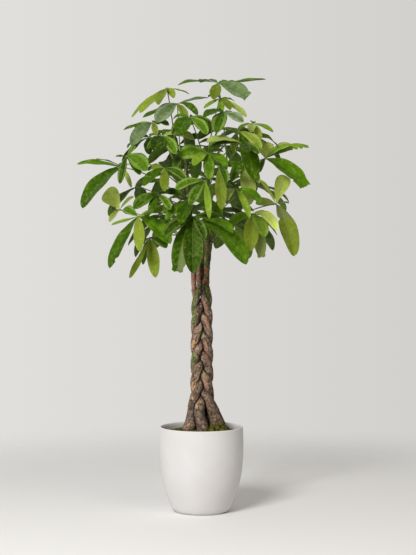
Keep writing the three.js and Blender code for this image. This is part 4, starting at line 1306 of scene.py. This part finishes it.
def makeCrown():
    finishes = [bladeFinish(tone, under) for tone in toneOrder for under in (False, True)]
    finishes.append(stalkFinish())
    shapes = {"blade": flatBlade(), "stalk": straightStalk(), "knob": roundKnob()}
    count = sum(makeLeaf(item, row, shapes, finishes) for item, row in enumerate(crownRows()))
    for mesh in shapes.values():
        bpy.data.meshes.remove(mesh)
    return count


print("crown made:", makeCrown(), "leaflets")


# Studio: a pale floor that fades into a pale background, a large soft light and a weak one across from it

studio = {
    "background": tint(226, 224, 221),
    "fillLeft": 1.36,
    "fillRight": 0.48,
    "fillFront": 0.5,
    "floor": tint(232, 231, 229),
    "floorRadius": 2.4,
    "floorFadeFrom": 0.7,
    "aim": (0, 0, 0.9),
    "lamps": {
        "key_light": {"place": (-1.8, -3.8, 3.3), "size": 1.6, "power": 220,
                      "colour": (1.0, 1.0, 1.0)},
        "fill_light": {"place": (2.6, -3.0, 3.4), "size": 2.4, "power": 30,
                       "colour": (1.0, 0.88, 0.74)},
    },
}


def makeFloor():
    finish = Finish("floor_matte")
    place = finish.place()
    away = finish.node("VectorMath", {"operation": "LENGTH"}, {0: place}, out="Value")
    fade = away.ease(studio["floorFadeFrom"], studio["floorRadius"])
    finish.set(color=studio["floor"], rough=0.8, specular=0.2, alpha=1 - fade)
    bm = bmesh.new()
    bmesh.ops.create_circle(bm, cap_ends=True, segments=64, radius=studio["floorRadius"])
    mesh = storedMesh("floor", bm)
    mesh.materials.append(finish.material)
    floor = addObject("floor", mesh)


def makeAir():  # brighter from the left than from the right, and weaker from the front
    world = bpy.data.worlds.new("studio_air")
    world.use_nodes = True
    nodes = world.node_tree.nodes
    air = nodes["Background"]
    air.inputs["Color"].default_value = studio["background"]
    direction = nodes.new("ShaderNodeTexCoord")
    parts = nodes.new("ShaderNodeSeparateXYZ")
    world.node_tree.links.new(direction.outputs["Generated"], parts.inputs[0])
    both = nodes.new("ShaderNodeMath")
    both.operation = "MULTIPLY"
    falls = {"X": (-1, 1, studio["fillLeft"], studio["fillRight"]), "Y": (0.2, 0.9, studio["fillFront"], 1)}
    for i, (axis, limits) in enumerate(falls.items()):
        shade = nodes.new("ShaderNodeMapRange")
        for name, limit in zip(("From Min", "From Max", "To Min", "To Max"), limits):
            shade.inputs[name].default_value = limit
        world.node_tree.links.new(parts.outputs[axis], shade.inputs["Value"])
        world.node_tree.links.new(shade.outputs[0], both.inputs[i])
    world.node_tree.links.new(both.outputs[0], air.inputs["Strength"])
    bpy.context.scene.world = world


def makeLamps():
    for name, settings in studio["lamps"].items():
        light = bpy.data.lights.new(name, "AREA")
        light.size = settings["size"]
        light.energy = settings["power"]
        light.color = settings["colour"]
        lamp = addObject(name, light)
        lamp.location = settings["place"]
        aim = Vector(studio["aim"]) - lamp.location
        lamp.rotation_euler = aim.to_track_quat("-Z", "Y").to_euler()


makeFloor()
makeAir()
makeLamps()


# Camera: level with the crown, a long way back, as the photograph was taken

view = {
    "place": (0.024, -4.7, 0.904),
    "downwards": 0.85,
    "focalPixels": 1316,
    "tallPixels": 555,
    "sensor": 36,
}


def makeCamera():
    lens = bpy.data.cameras.new("camera")
    lens.sensor_width = view["sensor"]
    lens.lens = view["focalPixels"] / view["tallPixels"] * view["sensor"]
    camera = addObject("camera", lens)
    camera.location = view["place"]
    camera.rotation_euler = (math.radians(90 - view["downwards"]), 0, 0)
    bpy.context.scene.camera = camera


makeCamera()
bpy.context.scene.view_settings.view_transform = "Standard"
print("studio and camera made")
